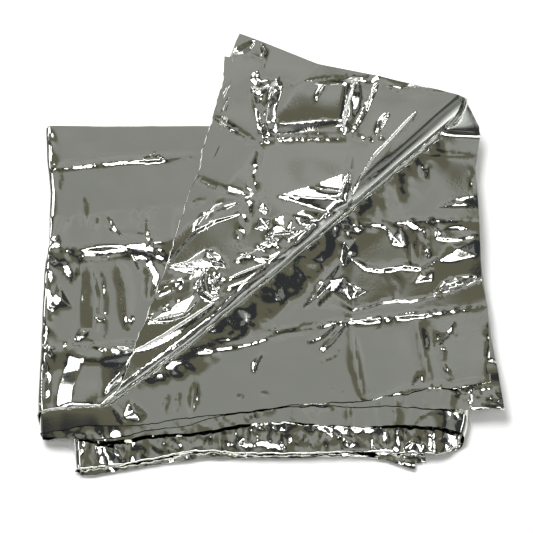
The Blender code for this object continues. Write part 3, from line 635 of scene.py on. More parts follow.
FLAP_PANEL = (
    # free corner
    Crease(((-42, 275), (-30, 277), (-21, 283), (-14, 293)), 1.8, 12, 3),
    Crease(((-28, 268), (-18, 272), (-6, 266)), 1, 7, 3),
    Crease(((-7, 289), (-3, 277), (-6, 266)), 1.2, 4, 4),
    Crease(((2, 284), (-3, 262), (-6, 249)), 0.5, 3, 5),
    Crease(((-57, 235), (-48, 224), (-50, 207), (-40, 197)), -0.3, 2, 2),
    Crease(((-53, 197), (-47, 213), (-38, 220)), -0.3, 2, 2),
    # crumpled column below the corner
    Crease(((-11, 249), (-16, 239), (-9, 232), (3, 235)), 1.8, 5, 6),
    Crease(((-18, 227), (-12, 221), (2, 224)), 2.2, 4, 7),
    Crease(((-19, 224), (-13, 202), (-4, 175)), 1.1, 3, 8),
    Crease(((16, 243), (9, 227), (2, 202), (-2, 169)), 1.2, 4, 4),
    Peak(8, 213, 2.6, ((2, 202), (7, 224), (21, 224), (16, 207))),
    Crush(((-16, 254), (-11, 229), (-6, 202), (-6, 175)), 6, 0.3, 7),
    Crush(((-8, 175), (-6, 159), (-8, 140), (-13, 113), (-18, 87)), 6, 0.42, 6),
    Crush(((-17, 93), (-20, 67), (-25, 44), (-32, 24)), 9, 0.4, 8),
    # stripes across the left of the flap
    Crease(((-70, 188), (-43, 171), (-13, 151)), -1.2, 7, 4),
    Crush(((-45, 168), (-33, 160), (-22, 152)), 3, 0.45, 4),
    Crease(((-91, 105), (-57, 89), (-23, 76)), -1.2, 7, 4),
    # the panel that dips behind the cross crease, and the crease
    Band(True, ((2, 156), (2, 197), (12, 238)), ((97, 153), (99, 180), (108, 235)),
         ((-0.14, 0), (-0.02, 3), (0.00, 3.4), (0.10, -1), (0.90, 2.2), (1.00, 4), (1.10, 2), (1.26, 0)),
         (12, 12)),
    Band(False, ((-6, 224), (23, 227), (42, 232), (79, 238), (107, 239)),
         ((-6, 163), (23, 161), (66, 159), (106, 155)),
         ((-0.03, 0), (0.00, 0.4), (0.02, 0), (0.74, -3), (0.98, 1), (1.00, 1.2), (1.16, 0)), (10, 8)),
    Crease(((62, 207), (68, 218), (73, 227)), 1.6, 5, 4),
    Crease(((-6, 152), (23, 155), (66, 152), (103, 149)), 0.6, 3, 3),
    Crush(((-6, 155), (7, 151), (22, 155)), 4, 0.4, 6),
    # bright upright fold at the right of it
    Crease(((97, 156), (99, 180), (107, 207), (112, 229)), 3.4, 4, 12),
    Crease(((105, 153), (116, 175), (129, 202), (139, 224)), 1.6, 4, 4),
    Crush(((107, 232), (124, 229), (139, 232)), 7, 0.44, 7),
    Crush(((137, 224), (126, 199), (116, 178)), 5, 0.4, 6),
    Crush(((106, 152), (123, 145), (144, 148)), 4, 0.4, 7),
    Crease(((136, 153), (143, 167), (151, 182)), 2, 7, 3),
    Crease(((145, 240), (186, 232), (234, 220)), -2.4, 4, 17),
    Crease(((149, 221), (167, 214), (192, 217), (226, 209)), 1.2, 3, 5),
    # ridge that runs up beside the diagonal
    Crease(((101, 65), (118, 96), (135, 123), (158, 149), (186, 182)), 2.2, 4, 11),
    Crease(((96, 71), (100, 100), (104, 129)), -0.5, 5, 5),
    # bright peaks in the middle of the flap
    Peak(96, 63, 6.6, ((12, 76), (56, 89), (102, 105), (105, 65), (100, 55), (75, 50), (41, 64))),
    Crease(((56, 87), (72, 80), (94, 75)), -0.9, 3, 4),
    Crease(((90, 65), (96, 84), (103, 103)), 1.2, 3, 3),
    Peak(63, 39, 3.4, ((30, 50), (45, 55), (74, 51), (68, 35), (41, 35))),
    Peak(23, 26, 3.6, ((-5, 21), (7, 44), (21, 52), (32, 44), (29, 24))),
    Peak(-1, 37, 2.8, ((-15, 33), (-8, 47), (6, 44), (4, 31))),
    Peak(7, 16, 2.6, ((-3, 18), (10, 31), (21, 26), (12, 11), (2, 12))),
    Peak(-2, 56, 2.2, ((-10, 60), (-4, 68), (4, 55), (-1, 51))),
    Crease(((-10, 8), (7, 13), (21, 21), (37, 31)), 1.6, 4, 6),
    Crease(((-16, -6), (4, -10), (23, 0), (36, 13)), 1.4, 4, 5),
    Crease(((-37, -10), (-18, -2), (2, 8), (20, 21)), 1.8, 4, 8),
    Crease(((24, 13), (47, 26), (78, 47)), 1.2, 4, 7),
    Crush(((-25, -2), (-5, 3), (23, 16), (53, 34)), 9, 0.36, 9),
    # wave across the narrow end
    Crease(((-122, -13), (-105, 13), (-86, 33), (-62, 46), (-30, 54)), 2.6, 14, 4),
    Crease(((-86, 35), (-74, 54), (-47, 60), (-33, 67)), 2, 8, 10),
    Leaf(-84, 72, 20, 13, 6, 0.13),
    Leaf(-62, 69, 10, 10, 4, 0.12),
    Crease(((-69, 56), (-62, 63), (-53, 68)), 1.4, 3, 5),
    Peak(-77, -8, 4.4, ((-120, -13), (-98, -8), (-75, 8), (-54, -2), (-47, -15), (-81, -18))),
    Peak(-59, -13, 3, ((-74, 5), (-66, 9), (-59, 3), (-47, -18), (-64, -15))),
    Crease(((-117, -17), (-93, -23), (-66, -22)), -1, 3, 5),
    Crease(((-129, -37), (-105, -33), (-81, -31)), 0.6, 3, 8),
    # loop where the ridges meet
    Crease(((-75, -21), (-79, -35), (-76, -50), (-65, -59), (-54, -55)), 2.2, 4, 5),
    Crease(((-69, -26), (-65, -44), (-56, -51)), 1.4, 3, 4),
    Crease(((-54, -26), (-61, -36), (-64, -46)), 1.4, 3, 4),
    Crease(((-45, -33), (-25, -26), (-5, -18), (2, -15)), 1.6, 3, 5),
    Crease(((-47, -46), (-25, -39), (-5, -21)), 1.4, 3, 5),
    Crush(((-69, -26), (-54, -36), (-64, -46)), 8, 0.46, 6),
    Crush(((-131, -51), (-114, -41), (-95, -36), (-83, -41)), 8, 0.44, 7),
    Peak(-99, -80, 4, ((-138, -85), (-114, -67), (-85, -51), (-82, -60), (-92, -77), (-116, -85))),
    Crush(((-140, -80), (-128, -72), (-109, -62)), 6, 0.46, 6),
    Crease(((-160, -124), (-146, -119), (-122, -107), (-92, -87), (-61, -64)), 2.6, 5, 7),
    Crease(((-143, -85), (-122, -83), (-98, -78)), 1, 3, 4),
    Crease(((-168, -164), (-145, -143), (-118, -123), (-85, -97), (-54, -69)), -0.8, 4, 4),
)
RIGHT_PANEL = (
    # the bay between the cross creases: it drops from the back one and slopes to the front one
    Band(False, ((84, 39), (153, 47), (207, 50), (270, 50)),
         ((41, -62), (77, -62), (104, -70), (138, -61), (184, -56), (211, -48), (267, -27)),
         ((-0.90, 0), (-0.02, 5.5), (0.00, 5.9), (0.15, 4.6), (0.94, -1.6), (1.00, 1.4), (1.30, 0)),
         (28, 4)),
    # behind the cross creases
    Crease(((183, 138), (215, 140), (257, 137)), 1, 4, 7),
    Crease(((190, 124), (195, 108), (200, 123)), 0.8, 3, 3),
    Peak(240, 73, 2.6, ((206, 65), (232, 79), (263, 84), (261, 65))),
    Crush(((257, 131), (255, 104), (253, 77)), 4, 0.34, 6),
    # back cross crease, with the bays in front of it
    Crease(((105, 40), (153, 46), (207, 50), (256, 48)), 0.6, 2, 4),
    Crush(((115, 40), (164, 43), (213, 46)), 10, 0.26, 12),
    Crease(((208, 40), (210, 27), (231, 25), (257, 30)), 1.6, 6, 5),
    Leaf(232, 36, 2, 18, 5, 0.25),
    Peak(155, 27, 3, ((143, 43), (166, 43), (169, 14), (154, 17))),
    Peak(177, 17, -1.6, ((166, 43), (188, 43), (186, -4), (177, -12), (168, 12))),
    Crush(((191, 44), (193, 25), (197, 5)), 8, 0.42, 7),
    Peak(100, 12, 3, ((91, -4), (95, 22), (110, 25), (111, 4), (96, -12))),
    Crease(((104, 0), (121, -12), (138, -14), (165, -9), (187, -12), (209, 1)), 1.8, 6, 5),
    Peak(234, 12, 3.6, ((208, -4), (222, 19), (259, 27), (257, 4), (224, -4))),
    Peak(193, -23, 2.4, ((179, -31), (187, -14), (204, -14), (203, -27))),
    Crease(((203, -48), (218, -32), (255, -22)), 2.6, 5, 10),
    Peak(81, -43, -4, ((61, -32), (96, -22), (105, -38), (104, -63), (62, -63))),
    Peak(110, -41, 2.8, ((102, -31), (122, -41), (104, -52), (98, -43))),
    Crease(((90, -4), (71, -27), (50, -59)), 1.4, 6, 6),
    Crease(((80, -30), (63, -48), (45, -63)), -1.2, 5, 5),
    Crease(((144, -14), (160, -31), (157, -53)), -0.8, 10, 12),
    # long crinkled cross crease
    Crease(((-1, -91), (49, -90), (84, -81), (143, -77), (186, -71), (264, -61)), 1.4, 5, 6),
    Crush(((-5, -89), (22, -88), (53, -88)), 9, 0.3, 8),
    Crush(((53, -89), (89, -81), (143, -77), (186, -72)), 6, 0.42, 7),
    Crush(((186, -74), (210, -68), (264, -61)), 6, 0.26, 8),
    Crease(((-1, -102), (28, -93), (55, -91)), -1.8, 6, 6),
    Crease(((95, -84), (80, -102), (67, -117)), 1.8, 4, 6),
    Crease(((83, -85), (67, -98), (50, -107)), 1.2, 4, 4),
    Crease(((91, -107), (82, -123), (62, -132)), 0.5, 3, 3),
    # upright folds of the front panel
    Crease(((101, -86), (107, -136), (116, -180)), 0.9, 8, 10),
    Crease(((181, -77), (187, -117), (197, -161)), 0.8, 7, 9),
    Peak(198, -108, -1.6, ((189, -81), (200, -79), (209, -98), (202, -117), (192, -117))),
    Peak(217, -94, 1.8, ((207, -112), (205, -91), (219, -86), (228, -80), (224, -94))),
    Crush(((211, -109), (214, -136), (220, -160)), 5, 0.4, 6),
    Crease(((269, -81), (269, -117), (267, -157)), -0.6, 4, 4),
    Crush(((268, -85), (268, -117), (267, -148)), 5, 0.22, 7),
    Crease(((126, -180), (160, -171), (196, -165), (222, -165), (268, -156)), 1.4, 8, 4),
    Crease(((143, -176), (166, -170), (193, -165)), -1.2, 3, 3),
    Crush(((196, -165), (214, -170), (231, -175)), 7, 0.36, 8),
    Peak(184, -152, -1, ((172, -165), (181, -142), (187, -145), (189, -162))),
    Leaf(231, -99, 0, 6, 2, 0.15),
    Leaf(126, -167, 95, 9, 2, 0.15),
    Leaf(119, -181, -10, 12, 2, 0.15),
    Leaf(78, -166, -10, 5, 2, 0.15),
    Leaf(94, -172, -20, 8, 1.5, 0.15),
    Leaf(-2, -172, -5, 6, 3, 0.15),
    Leaf(-32, -176, -8, 7, 3, 0.15),
    Leaf(-23, -175, 0, 4, 2, 0.15),
    Leaf(136, -91, 80, 4, 2, 0.15),
    Leaf(23, -123, 10, 3, 2, -0.15),
    Leaf(-3, -124, 20, 4, 2, -0.15),
    Crease(((-5, -121), (-13, -132), (-15, -145)), 1, 3, 3),
    # along the foot of the diagonal
    Crush(((-44, -98), (-5, -79), (29, -53), (59, -14), (96, 31)), 22, 0.07, 13),
    Crease(((-128, -145), (-92, -132), (-62, -119), (-20, -104)), -0.6, 12, 10),
    Crush(((-144, -172), (-134, -160), (-122, -155)), 10, 0.04, 8),
    Leaf(-88, -177, 84, 24, 7.5, 0.15),
    Leaf(-107, -182, 80, 16, 4, 0.15),
    Leaf(-121, -185, 76, 16, 4, 0.15),
    Peak(-158, -194, 2.2, ((-172, -202), (-163, -177), (-139, -197), (-148, -207))),
    Crease(((-184, -187), (-175, -198), (-170, -209)), 0.6, 4, 4),
    Crease(((-84, -121), (-20, -108), (22, -95), (40, -93)), 1, 6, 3),
)
UPPER_EDGES = (
    # the strip that shows in front of the right panel
    Leaf(59, -187, -3, 24, 6.5, 0.13),
    Crease(((97, -181), (99, -213)), 0.5, 6, 6),
    Crease(((154, -178), (154, -213)), 0.5, 5, 5),
    Crease(((133, -183), (135, -213)), -0.4, 6, 6),
    Crease(((173, -210), (181, -200), (195, -192), (211, -191), (226, -196), (238, -208)), 0.5, 3, 3),
    Crush(((-24, -201), (-5, -193), (11, -188)), 8, 0.3, 6),
    Crush(((-246, -226), (-174, -226), (-79, -216), (-32, -203)), 12, 0.2, 9),
    # its crumpled right corner
    Crush(((229, -171), (256, -174), (279, -176)), 16, 0.4, 10),
    Crease(((243, -187), (283, -190)), 2, 5, 5),
    Crease(((244, -166), (244, -183)), 1.4, 3, 4),
)
LOWER_EDGES = (
    # dark step along the back of the lower strip
    Band(False, ((-36, -206), (4, -201), (40, -204), (88, -208), (152, -213)),
         ((-36, -214), (4, -213), (40, -214), (88, -216), (152, -217)),
         ((-0.60, 1.1), (0.00, 1.1), (1.00, 0)), (20, 30)),
    # bright peaks and crumpled film
    Peak(-194, -234, 5, ((-204, -233), (-184, -230), (-168, -251), (-181, -264), (-199, -253))),
    Crush(((-184, -226), (-151, -233), (-109, -233), (-73, -230)), 20, 0.17, 6),
    Crush(((-73, -221), (-26, -226), (22, -226), (70, -221)), 18, 0.22, 9),
    Crease(((-32, -230), (-5, -226), (22, -233)), 1.6, 5, 7),
    Leaf(-51, -244, -4, 26, 6, 0.13),
    Crush(((71, -216), (88, -221), (102, -228)), 8, 0.42, 8),
    Crease(((88, -238), (111, -242), (135, -245)), 1.4, 4, 6),
    Crease(((126, -234), (140, -235), (157, -238)), 1.6, 4, 7),
    Peak(176, -230, 3.6, ((163, -234), (171, -226), (188, -229), (196, -240), (190, -253), (168, -253),
                          (161, -242))),
    Crease(((156, -249), (192, -254)), 1.2, 4, 5),
    Crease(((143, -213), (145, -233)), 1, 4, 6),
    Crease(((157, -213), (160, -233)), -1, 5, 5),
    Crease(((198, -212), (198, -250)), 1.2, 3, 5),
    Crease(((231, -212), (233, -245)), 0.8, 3, 3),
    Crush(((205, -221), (214, -228), (221, -235)), 6, 0.3, 7),
)


# ---------------------------------------------------------------- how high they stand, in metres

# Soft rolling of each panel: heights, sizes and seeds
LEFT_SWELL = ((0.00030, 0.060, 3), (0.00012, 0.022, 5))
FLAP_SWELL = ((0.00050, 0.070, 13), (0.00015, 0.025, 15))
RIGHT_SWELL = ((0.00035, 0.065, 23), (0.00012, 0.022, 25))

# Where something comes or goes: where that starts, and over what length
LEFT_HIDES = (0.0, 0.010)       # to the right of the flap's edge
LEFT_ROLLS = (0.0, 0.012)       # inwards from the roll line
RIGHT_ROLLS = (-0.004, 0.016)   # outwards from the roll line
RIGHT_FRONT = (0.0, 0.006)      # in front of the top pair's edge
FLAP_OVER = (1.2, 1.2)          # by the angle that the flap has rolled
BEND_GROWS = (0.0, 0.6)         # the facets round its bend, by that angle,
BEND_FADES = (2.6, 0.5)         # and where they fade
WORN_TIP = (0.34, 0.10)         # towards the tip along the roll line, where the bend is more crinkled

# Facets along and across a line: how high, shares of the two directions, size and seed
Facets = namedtuple("Facets", "height along across size seed")
BEND_LONG = Facets(0.0011, 0.22, 0.009, 0.009, 21)
BEND_SMALL = Facets(0.0005, 0.50, 0.010, 0.005, 22)
BEND_LEAST = 0.3        # how much of them is left past the crinkled end

# Plies that sink to make room for the dents above them. The faces that point up on other plies
# point down on these, so a positive height lowers them.
FLAP_SINKS = 0.0050
FLAP_SINKS_FROM = ((0.165, 0.030), (0.012, 0.030), (2.4, 0.6))  # y, past the flap's edge, and angle
PANEL_SINKS = 0.0018
PANEL_SINKS_FROM = (-0.160, 0.020)  # y

# The rise of the right panel to the foot of the diagonal. The rows give a distance along the roll
# line, how far out the rise reaches there, and over what length it steepens.
FOOT_SLOPE = 0.165
FOOT = ((0.05, 0.034, 0.020), (0.10, 0.050, 0.020), (0.17, 0.058, 0.020), (0.27, 0.060, 0.020),
        (0.33, 0.054, 0.020), (0.38, 0.072, 0.050), (0.46, 0.070, 0.060), (0.53, 0.050, 0.050),
        (0.58, 0.020, 0.030), (0.60, 0.000, 0.020))
FOOT_UNSEEN = 0.018     # the rise stops this far out, under the bend
FOOT_LONGEST = 0.080    # and is no longer than this
FOOT_UNEVEN = (0.12, 0.040, 27)  # how uneven its reach is, over what length, and the seed
FOOT_EVENS = (0.10, (0.34, 0.06))  # how much less uneven it gets, and where along the roll line
FOOT_FRONT = (0.004, 0.020)  # behind the top pair's edge
FOOT_FACETS = (Facets(0.0008, 1.0, 0.4, 0.011, 28), Facets(0.0003, 1.0, 0.6, 0.005, 29))
FOOT_CRINKLED = 0.8     # share of the steepening over which they grow

# The strips of lower plies that show along the front: how crumpled they are, and how steeply
# they fall in front of a line
UPPER_STRIP = (0.30, 0.0)
LOWER_STRIP = (0.75, 0.02)
STRIP_FALLS = -0.192
STRIP_COARSE = (0.0009, 0.010, 33)  # height, size and seed of their coarse facets,
STRIP_FINE = (0.0005, 0.005, 34)    # of their fine ones,
STRIP_ROLLING = (0.0012, 0.024, 35)  # and of their soft rolling
STRIP_STRETCH = 0.30    # the coarse facets and the rolling are longer from front to back
PLY_APART = 0.7         # each ply's facets start this far from the last one's
TOP_STRIP_FROM = -0.165  # the top layer's lowest ply shows in front of this,
STRIPS_FROM = -0.180    # and the lower layers in front of this

# The front left corner drops in front of the top pair's edge
FRONT_DROP = 0.085      # how steeply, on the top layer,
DROP_EASES = 0.25       # and how much less on each layer under it, as a share
DROP_FADES = (-0.215, 0.065)  # to the right
DROP_REACH = 0.035      # the furthest forward that it goes on falling


def ramp(value, start, length):
    """Ease from 0 to 1 from a start, over a length."""
    return smooth((value - start) / length)


def swell(rows, x, y):
    return sum(height * drift(x, y, size, seed) for height, size, seed in rows)


def faceted(kind, along, across):
    return kind.height * facets(along * kind.along, across * kind.across, kind.size, kind.seed)


def left_panel(film):
    """The panel to the left of the flap. Its relief fades under the flap and towards the roll."""
    fade = (1.0 - ramp(past_flap(film), *LEFT_HIDES)) * ramp(-film.out, *LEFT_ROLLS)
    return (relief(TOP_PANEL, film.x, film.y) + swell(LEFT_SWELL, film.x, film.y)) * fade


def flap(film):
    """The turned-back flap, with facets round its bend."""
    over = ramp(film.angle, *FLAP_OVER)
    height = (relief(FLAP_PANEL, film.x, film.y) + swell(FLAP_SWELL, film.x, film.y)) * over
    along = roll_coordinates(film.x, film.y)[0]
    bend = ramp(film.angle, *BEND_GROWS) * (1.0 - ramp(film.angle, *BEND_FADES))
    worn = smooth((WORN_TIP[0] - along) / WORN_TIP[1])
    crinkle = faceted(BEND_LONG, along, film.angle) + worn * faceted(BEND_SMALL, along, film.angle)
    return height + bend * (BEND_LEAST + (1.0 - BEND_LEAST) * worn) * crinkle


def under_flap(film):
    """The lower ply of the flap, where it lies past the pack's back edge."""
    share = 1.0
    for value, (start, length) in zip((film.y, past_flap(film), film.angle), FLAP_SINKS_FROM):
        share = share * ramp(value, start, length)
    return FLAP_SINKS * share


def under_panel(film):
    """The lowest ply of the top layer."""
    return PANEL_SINKS * ramp(film.y, *PANEL_SINKS_FROM)


def right_panel(film):
    """The panel to the right of the flap, which rises to the foot of the diagonal."""
    x, y, behind_front = film.x, film.y, film.y - pair_front(film)
    fade = np.maximum(ramp(film.out, *RIGHT_ROLLS), ramp(-behind_front, *RIGHT_FRONT))
    height = (relief(RIGHT_PANEL, x, y) + swell(RIGHT_SWELL, x, y)) * fade
    along = roll_coordinates(x, y)[0]
    places, reaches, eases = zip(*FOOT)
    amount, length, seed = FOOT_UNEVEN
    uneven = amount - FOOT_EVENS[0] * ramp(along, *FOOT_EVENS[1])
    reach = np.interp(along, places, reaches) * (1.0 + uneven * drift(x, y, length, seed))
    ease = np.interp(along, places, eases)
    rise = np.clip(reach - np.maximum(film.out, FOOT_UNSEEN), 0.0, FOOT_LONGEST)
    eased = np.where(rise < ease, rise * rise / (2.0 * ease), rise - 0.5 * ease)
    crinkle = sum(faceted(kind, along, film.out) for kind in FOOT_FACETS)
    foot = FOOT_SLOPE * eased + smooth(rise / (FOOT_CRINKLED * ease)) * crinkle
    return height + ramp(behind_front, *FOOT_FRONT) * fade * foot


def strip(film, features, strength, falling):
    """A ply that shows along the front. Each ply is crumpled in its own way."""
    x, y, number = film.x, film.y, np.round(film.layer) * PLIES + np.round(film.ply)
    coarse, fine, rolling = STRIP_COARSE, STRIP_FINE, STRIP_ROLLING
    crumple = (coarse[0] * facets(x, y * STRIP_STRETCH + number * PLY_APART, *coarse[1:])
               + fine[0] * facets(x, y + number * PLY_APART, *fine[1:])
               + rolling[0] * drift(x, y * STRIP_STRETCH + number, *rolling[1:]))
    return relief(features, x, y) + strength * crumple + falling * np.minimum(y - STRIP_FALLS, 0.0)


def upper_strip(film):
    return strip(film, UPPER_EDGES, *UPPER_STRIP)


def lower_strip(film):
    return strip(film, LOWER_EDGES, *LOWER_STRIP)


def film_relief(film):
    """Height of the film's relief at each point, and whether it is measured straight up
    or square to the film."""
    layer, ply, angle, y = film.layer, film.ply, film.angle, film.y
    top, second = layer < TOP_LAYER, (layer > 0.5) & (layer < 1.5)
    upper = (second & (y < STRIPS_FROM)) | (top & (ply < 0.5) & (y < TOP_STRIP_FROM))
    lower = (layer > 1.5) & (y < STRIPS_FROM)
    height = np.zeros_like(y)
    for here, shape in (
            (top & (np.abs(ply - 1.0) < 0.1) & (angle < 0.1) & (past_flap(film) < 0.012), left_panel),
            (top & (np.abs(ply - 2.0) < 0.1) & (angle > 0.2), flap),
            (top & (np.abs(ply - 1.0) < 0.1) & (angle > 2.4), under_flap),
            (top & (ply < 0.1), under_panel),
            (top & (ply > 2.9), right_panel),
            (upper, upper_strip),
            (lower, lower_strip)):
        height[here] += shape(Film(*(part[here] for part in film)))
    in_front = np.clip(pair_front(film) - y, 0.0, DROP_REACH)
    left = (layer < 1.5) * (1.0 - ramp(film.x, *DROP_FADES))
    height -= FRONT_DROP * (1.0 - DROP_EASES * layer) * left * in_front
    return height, upper | lower | (y < pair_front(film))


# ---------------------------------------------------------------- how the sheet is divided

FINE = 0.00105         # finest grid step
SEEN = 4               # grid steps, in finest ones, where the film is seen from above,
SIDE = 8               # near the sides of the pack and under the flap,
HIDDEN = 16            # and elsewhere, which is also the size of a block
SHARPNESS = ((1, 0.5), (2, 0.7))  # steps across which a turn is measured, and what it counts for
POINTS = 103500        # how many points the sheet may have
ROW_STEP = 0.0042      # step along the fold rows
PLY_FOLD_ROWS = (7, 4, 4)  # rows round each fold of the plies,
LAYER_FOLD_ROWS = 7    # and round each fold of the layers
GUARD = 0.0008         # a row this far outside each fold keeps its edge crisp
ROW_CLEARANCE = 0.6    # grid points keep this many finest steps off the rows
MERGED = 1e-7          # points closer than this become one
LOWEST = 0.0002        # the film stays this far above the surface
STRIPS_SEEN = -0.186   # the lower layers are finely divided in front of this,
SIDES = (-0.245, 0.225)  # all layers less finely past these to the left and right,
RIGHT_SIDE = 0.258     # and the top layer's lowest ply finely to the right of this


def grid_steps(film):
    """The grid step at each point of the folded sheet, in finest steps."""
    x, y, layer, ply, angle = film.x, film.y, film.layer, film.ply, film.angle
    top, strips = layer < TOP_LAYER, (layer > 0.5) & (y < STRIPS_SEEN)
    steps = np.full(x.shape, HIDDEN)
    steps[(y < TOP_STRIP_FROM) | (x < SIDES[0]) | (x > SIDES[1])] = SIDE
    steps[top & (np.abs(ply - 1.0) < 0.02) & (angle > 0.3)] = SIDE
    steps[strips] = SEEN
    steps[strips & (np.abs(ply - 2.0) < 1.02) & (layer < 1.5)] = SIDE
    steps[top & (ply < 0.5) & ((y < TOP_STRIP_FROM) | (x > RIGHT_SIDE))] = SEEN
    steps[top & (np.abs(ply - 1.0) < 0.02) & (past_flap(film) < 0.014) & (angle < 2.0)] = SEEN
    steps[top & (np.abs(ply - 2.0) < 0.02) & (angle > 0.1)] = SEEN
    steps[top & (ply > 2.98) & ((film.out > -0.012) | (y < pair_front(film) + 0.010))] = SEEN
    return steps


def fold_rows():
    """Rows of points that the mesh keeps whole: v of each fold row, and s of each fold column."""
    rows, columns = [0.0, V_MARKS[-1]], [0.0, S_MARKS[-1]]
    for lines, marks, counts in ((rows, V_MARKS, PLY_FOLD_ROWS),
                                 (columns, S_MARKS, (LAYER_FOLD_ROWS,) * (LAYERS - 1))):
        for i, count in enumerate(counts):
            first, last = marks[2 * i + 1], marks[2 * i + 2]
            lines.extend((first - GUARD, *np.linspace(first, last, count), last + GUARD))
    return rows, columns


def grid(count_s, count_v, step):
    """Whole-number places on the flat sheet, a step apart."""
    return np.meshgrid(np.arange(0, count_s, step), np.arange(0, count_v, step), indexing="ij")


def seen_grid(count_s, count_v):
    """The finest grid, in each block where the film is seen and in the blocks beside it."""
    block_i, block_j = grid(count_s, count_v, HIDDEN)
    middle = HIDDEN / 2 * FINE
    film = fold(middle + block_i.ravel() * FINE, middle + block_j.ravel() * FINE)
    seen = grid_steps(film).reshape(block_i.shape) == SEEN
    seen[1:] |= seen[:-1]
    seen[:-1] |= seen[1:]
    seen[:, 1:] |= seen[:, :-1]
    seen[:, :-1] |= seen[:, 1:]
    inner_i, inner_j = grid(HIDDEN, HIDDEN, 1)
    return ((block_i[seen][:, None] + inner_i.ravel()).ravel(),
            (block_j[seen][:, None] + inner_j.ravel()).ravel())


def sharpness(i, j, level, height):
    """How sharply the film turns at each place, across steps of its own level."""
    turn = np.zeros(i.shape)
    for size, weight in SHARPNESS:
        for di, dj in ((size, 0), (0, size), (size, size), (size, -size)):
            before, after = height[i - di, j - dj], height[i + di, j + dj]
            bend = np.nan_to_num(np.abs(before + after - 2.0 * height[i, j])) * weight
            turn = np.where(level == size, np.maximum(turn, bend), turn)
    return turn


def grid_points(rows, columns, room):
    """A grid of points, coarse where the film is hidden and finest where its creases turn sharply."""
    count_s, count_v = int(S_MARKS[-1] / FINE), int(V_MARKS[-1] / FINE)
    i, j = seen_grid(count_s, count_v)
    film = fold(i * FINE, j * FINE)
    height = np.full((count_s + 3 * HIDDEN, count_v + 3 * HIDDEN), np.nan)
    height[i, j] = film_relief(film)[0]
    level = np.where((i % 2 == 0) & (j % 2 == 0), 2, 1)
    level[(i % SEEN == 0) & (j % SEEN == 0)] = SEEN
    seen = grid_steps(film) == SEEN
    always = seen & (level == SEEN)
    hidden_i, hidden_j = (part.ravel() for part in grid(count_s, count_v, SIDE))
    steps = grid_steps(fold(hidden_i * FINE, hidden_j * FINE))
    hidden = (hidden_i % steps == 0) & (hidden_j % steps == 0) & (steps > SEEN)
    spare = np.flatnonzero(seen & (level < SEEN))
    spare = spare[np.argsort(-sharpness(i, j, level, height)[spare])]
    sharpest = spare[:max(room - always.sum() - hidden.sum(), 0)]
    s = np.concatenate((i[always], hidden_i[hidden], i[sharpest])) * FINE
    v = np.concatenate((j[always], hidden_j[hidden], j[sharpest])) * FINE
    clear = (s < S_MARKS[-1]) & (v < V_MARKS[-1])
    for marks, value in ((rows, v), (columns, s)):
        clear &= np.min([np.abs(value - mark) for mark in marks], axis=0) > ROW_CLEARANCE * FINE
    return s[clear], v[clear]


def sheet_points():
    """Points of the flat sheet: rows along every fold, and the grid between them."""
    points, edges = [], []
    rows, columns = fold_rows()
    along = np.linspace(0.0, S_MARKS[-1], int(S_MARKS[-1] / ROW_STEP))
    across = np.linspace(0.0, V_MARKS[-1], int(V_MARKS[-1] / ROW_STEP))
    lines = [(along, np.full(along.shape, v)) for v in rows]
    lines += [(np.full(across.shape, s), across) for s in columns]
    for s, v in lines:
        first = len(points)
        points.extend(zip(s.tolist(), v.tolist()))
        edges.extend((i, i + 1) for i in range(first, len(points) - 1))
    s, v = grid_points(rows, columns, POINTS - len(points))
    points.extend(zip(s.tolist(), v.tolist()))
    return points, edges


def vertex_normals(place, faces):
    a, b, c = (place[faces[:, k]] for k in range(3))
    face = np.cross(b - a, c - a)
    total = np.zeros_like(place)
    for k in range(3):
        for axis in range(3):
            total[:, axis] += np.bincount(faces[:, k], face[:, axis], minlength=len(place))
    return total / np.maximum(np.linalg.norm(total, axis=1), 1e-12)[:, None]


def sheet_mesh(name):
    """The folded film as one open mesh, with its flat coordinates as a UV map."""
    points, edges = sheet_points()
    found = delaunay_2d_cdt([Vector(p) for p in points], edges, [], 0, MERGED, False)
    flat = np.array([tuple(p) for p in found[0]])
    faces = np.array([tuple(face) for face in found[2]])
    film = fold(flat[:, 0], flat[:, 1])
    place = np.array((film.x, film.y, film.z)).T
    height, upward = film_relief(film)
    square = vertex_normals(place, faces)
    place = place + np.where(upward[:, None], np.array((0.0, 0.0, 1.0)), square) * height[:, None]
    place[:, 2] = np.maximum(place[:, 2], LOWEST)
    place -= np.array((MIDDLE[0], MIDDLE[1], 0.0))
    mesh = bpy.data.meshes.new(name)
    mesh.from_pydata(place, [], faces)
    flat_map = mesh.uv_layers.new(name=FLAT_MAP)
    corner = np.empty(len(mesh.loops), dtype=np.int32)
    mesh.loops.foreach_get("vertex_index", corner)
    flat_map.data.foreach_set("uv", flat[corner].astype(np.float32).ravel())
    mesh.shade_smooth()
    mesh.update()
    return mesh


# ---------------------------------------------------------------- shader maths

class Signal:
    """A socket that takes part in plain arithmetic."""

    def __init__(self, tree, socket):
        self.tree, self.socket = tree, socket

    def math(self, operation, *others, clamp=False):
        made = self.tree.node("Math", {"operation": operation, "use_clamp": clamp},
                              dict(enumerate((self, *others))))
        return self.tree.signal(made, 0)

    def __add__(self, other):
        return self.math("ADD", other)

    def __sub__(self, other):
        return self.math("SUBTRACT", other)

    def __rsub__(self, other):
        return self.math("MULTIPLY_ADD", -1.0, other)

    def __mul__(self, other):
        return self.math("MULTIPLY", other)

    def __truediv__(self, other):
        return self.math("DIVIDE", other)

    def __pow__(self, other):
        return self.math("POWER", other)

    def __abs__(self):
        return self.math("ABSOLUTE")

    __radd__ = __add__
    __rmul__ = __mul__

    def clamped(self):
        return self.math("ADD", 0.0, clamp=True)

    def degrees(self, operation, *others):
        return self.math(operation, *others) * (180.0 / math.pi)


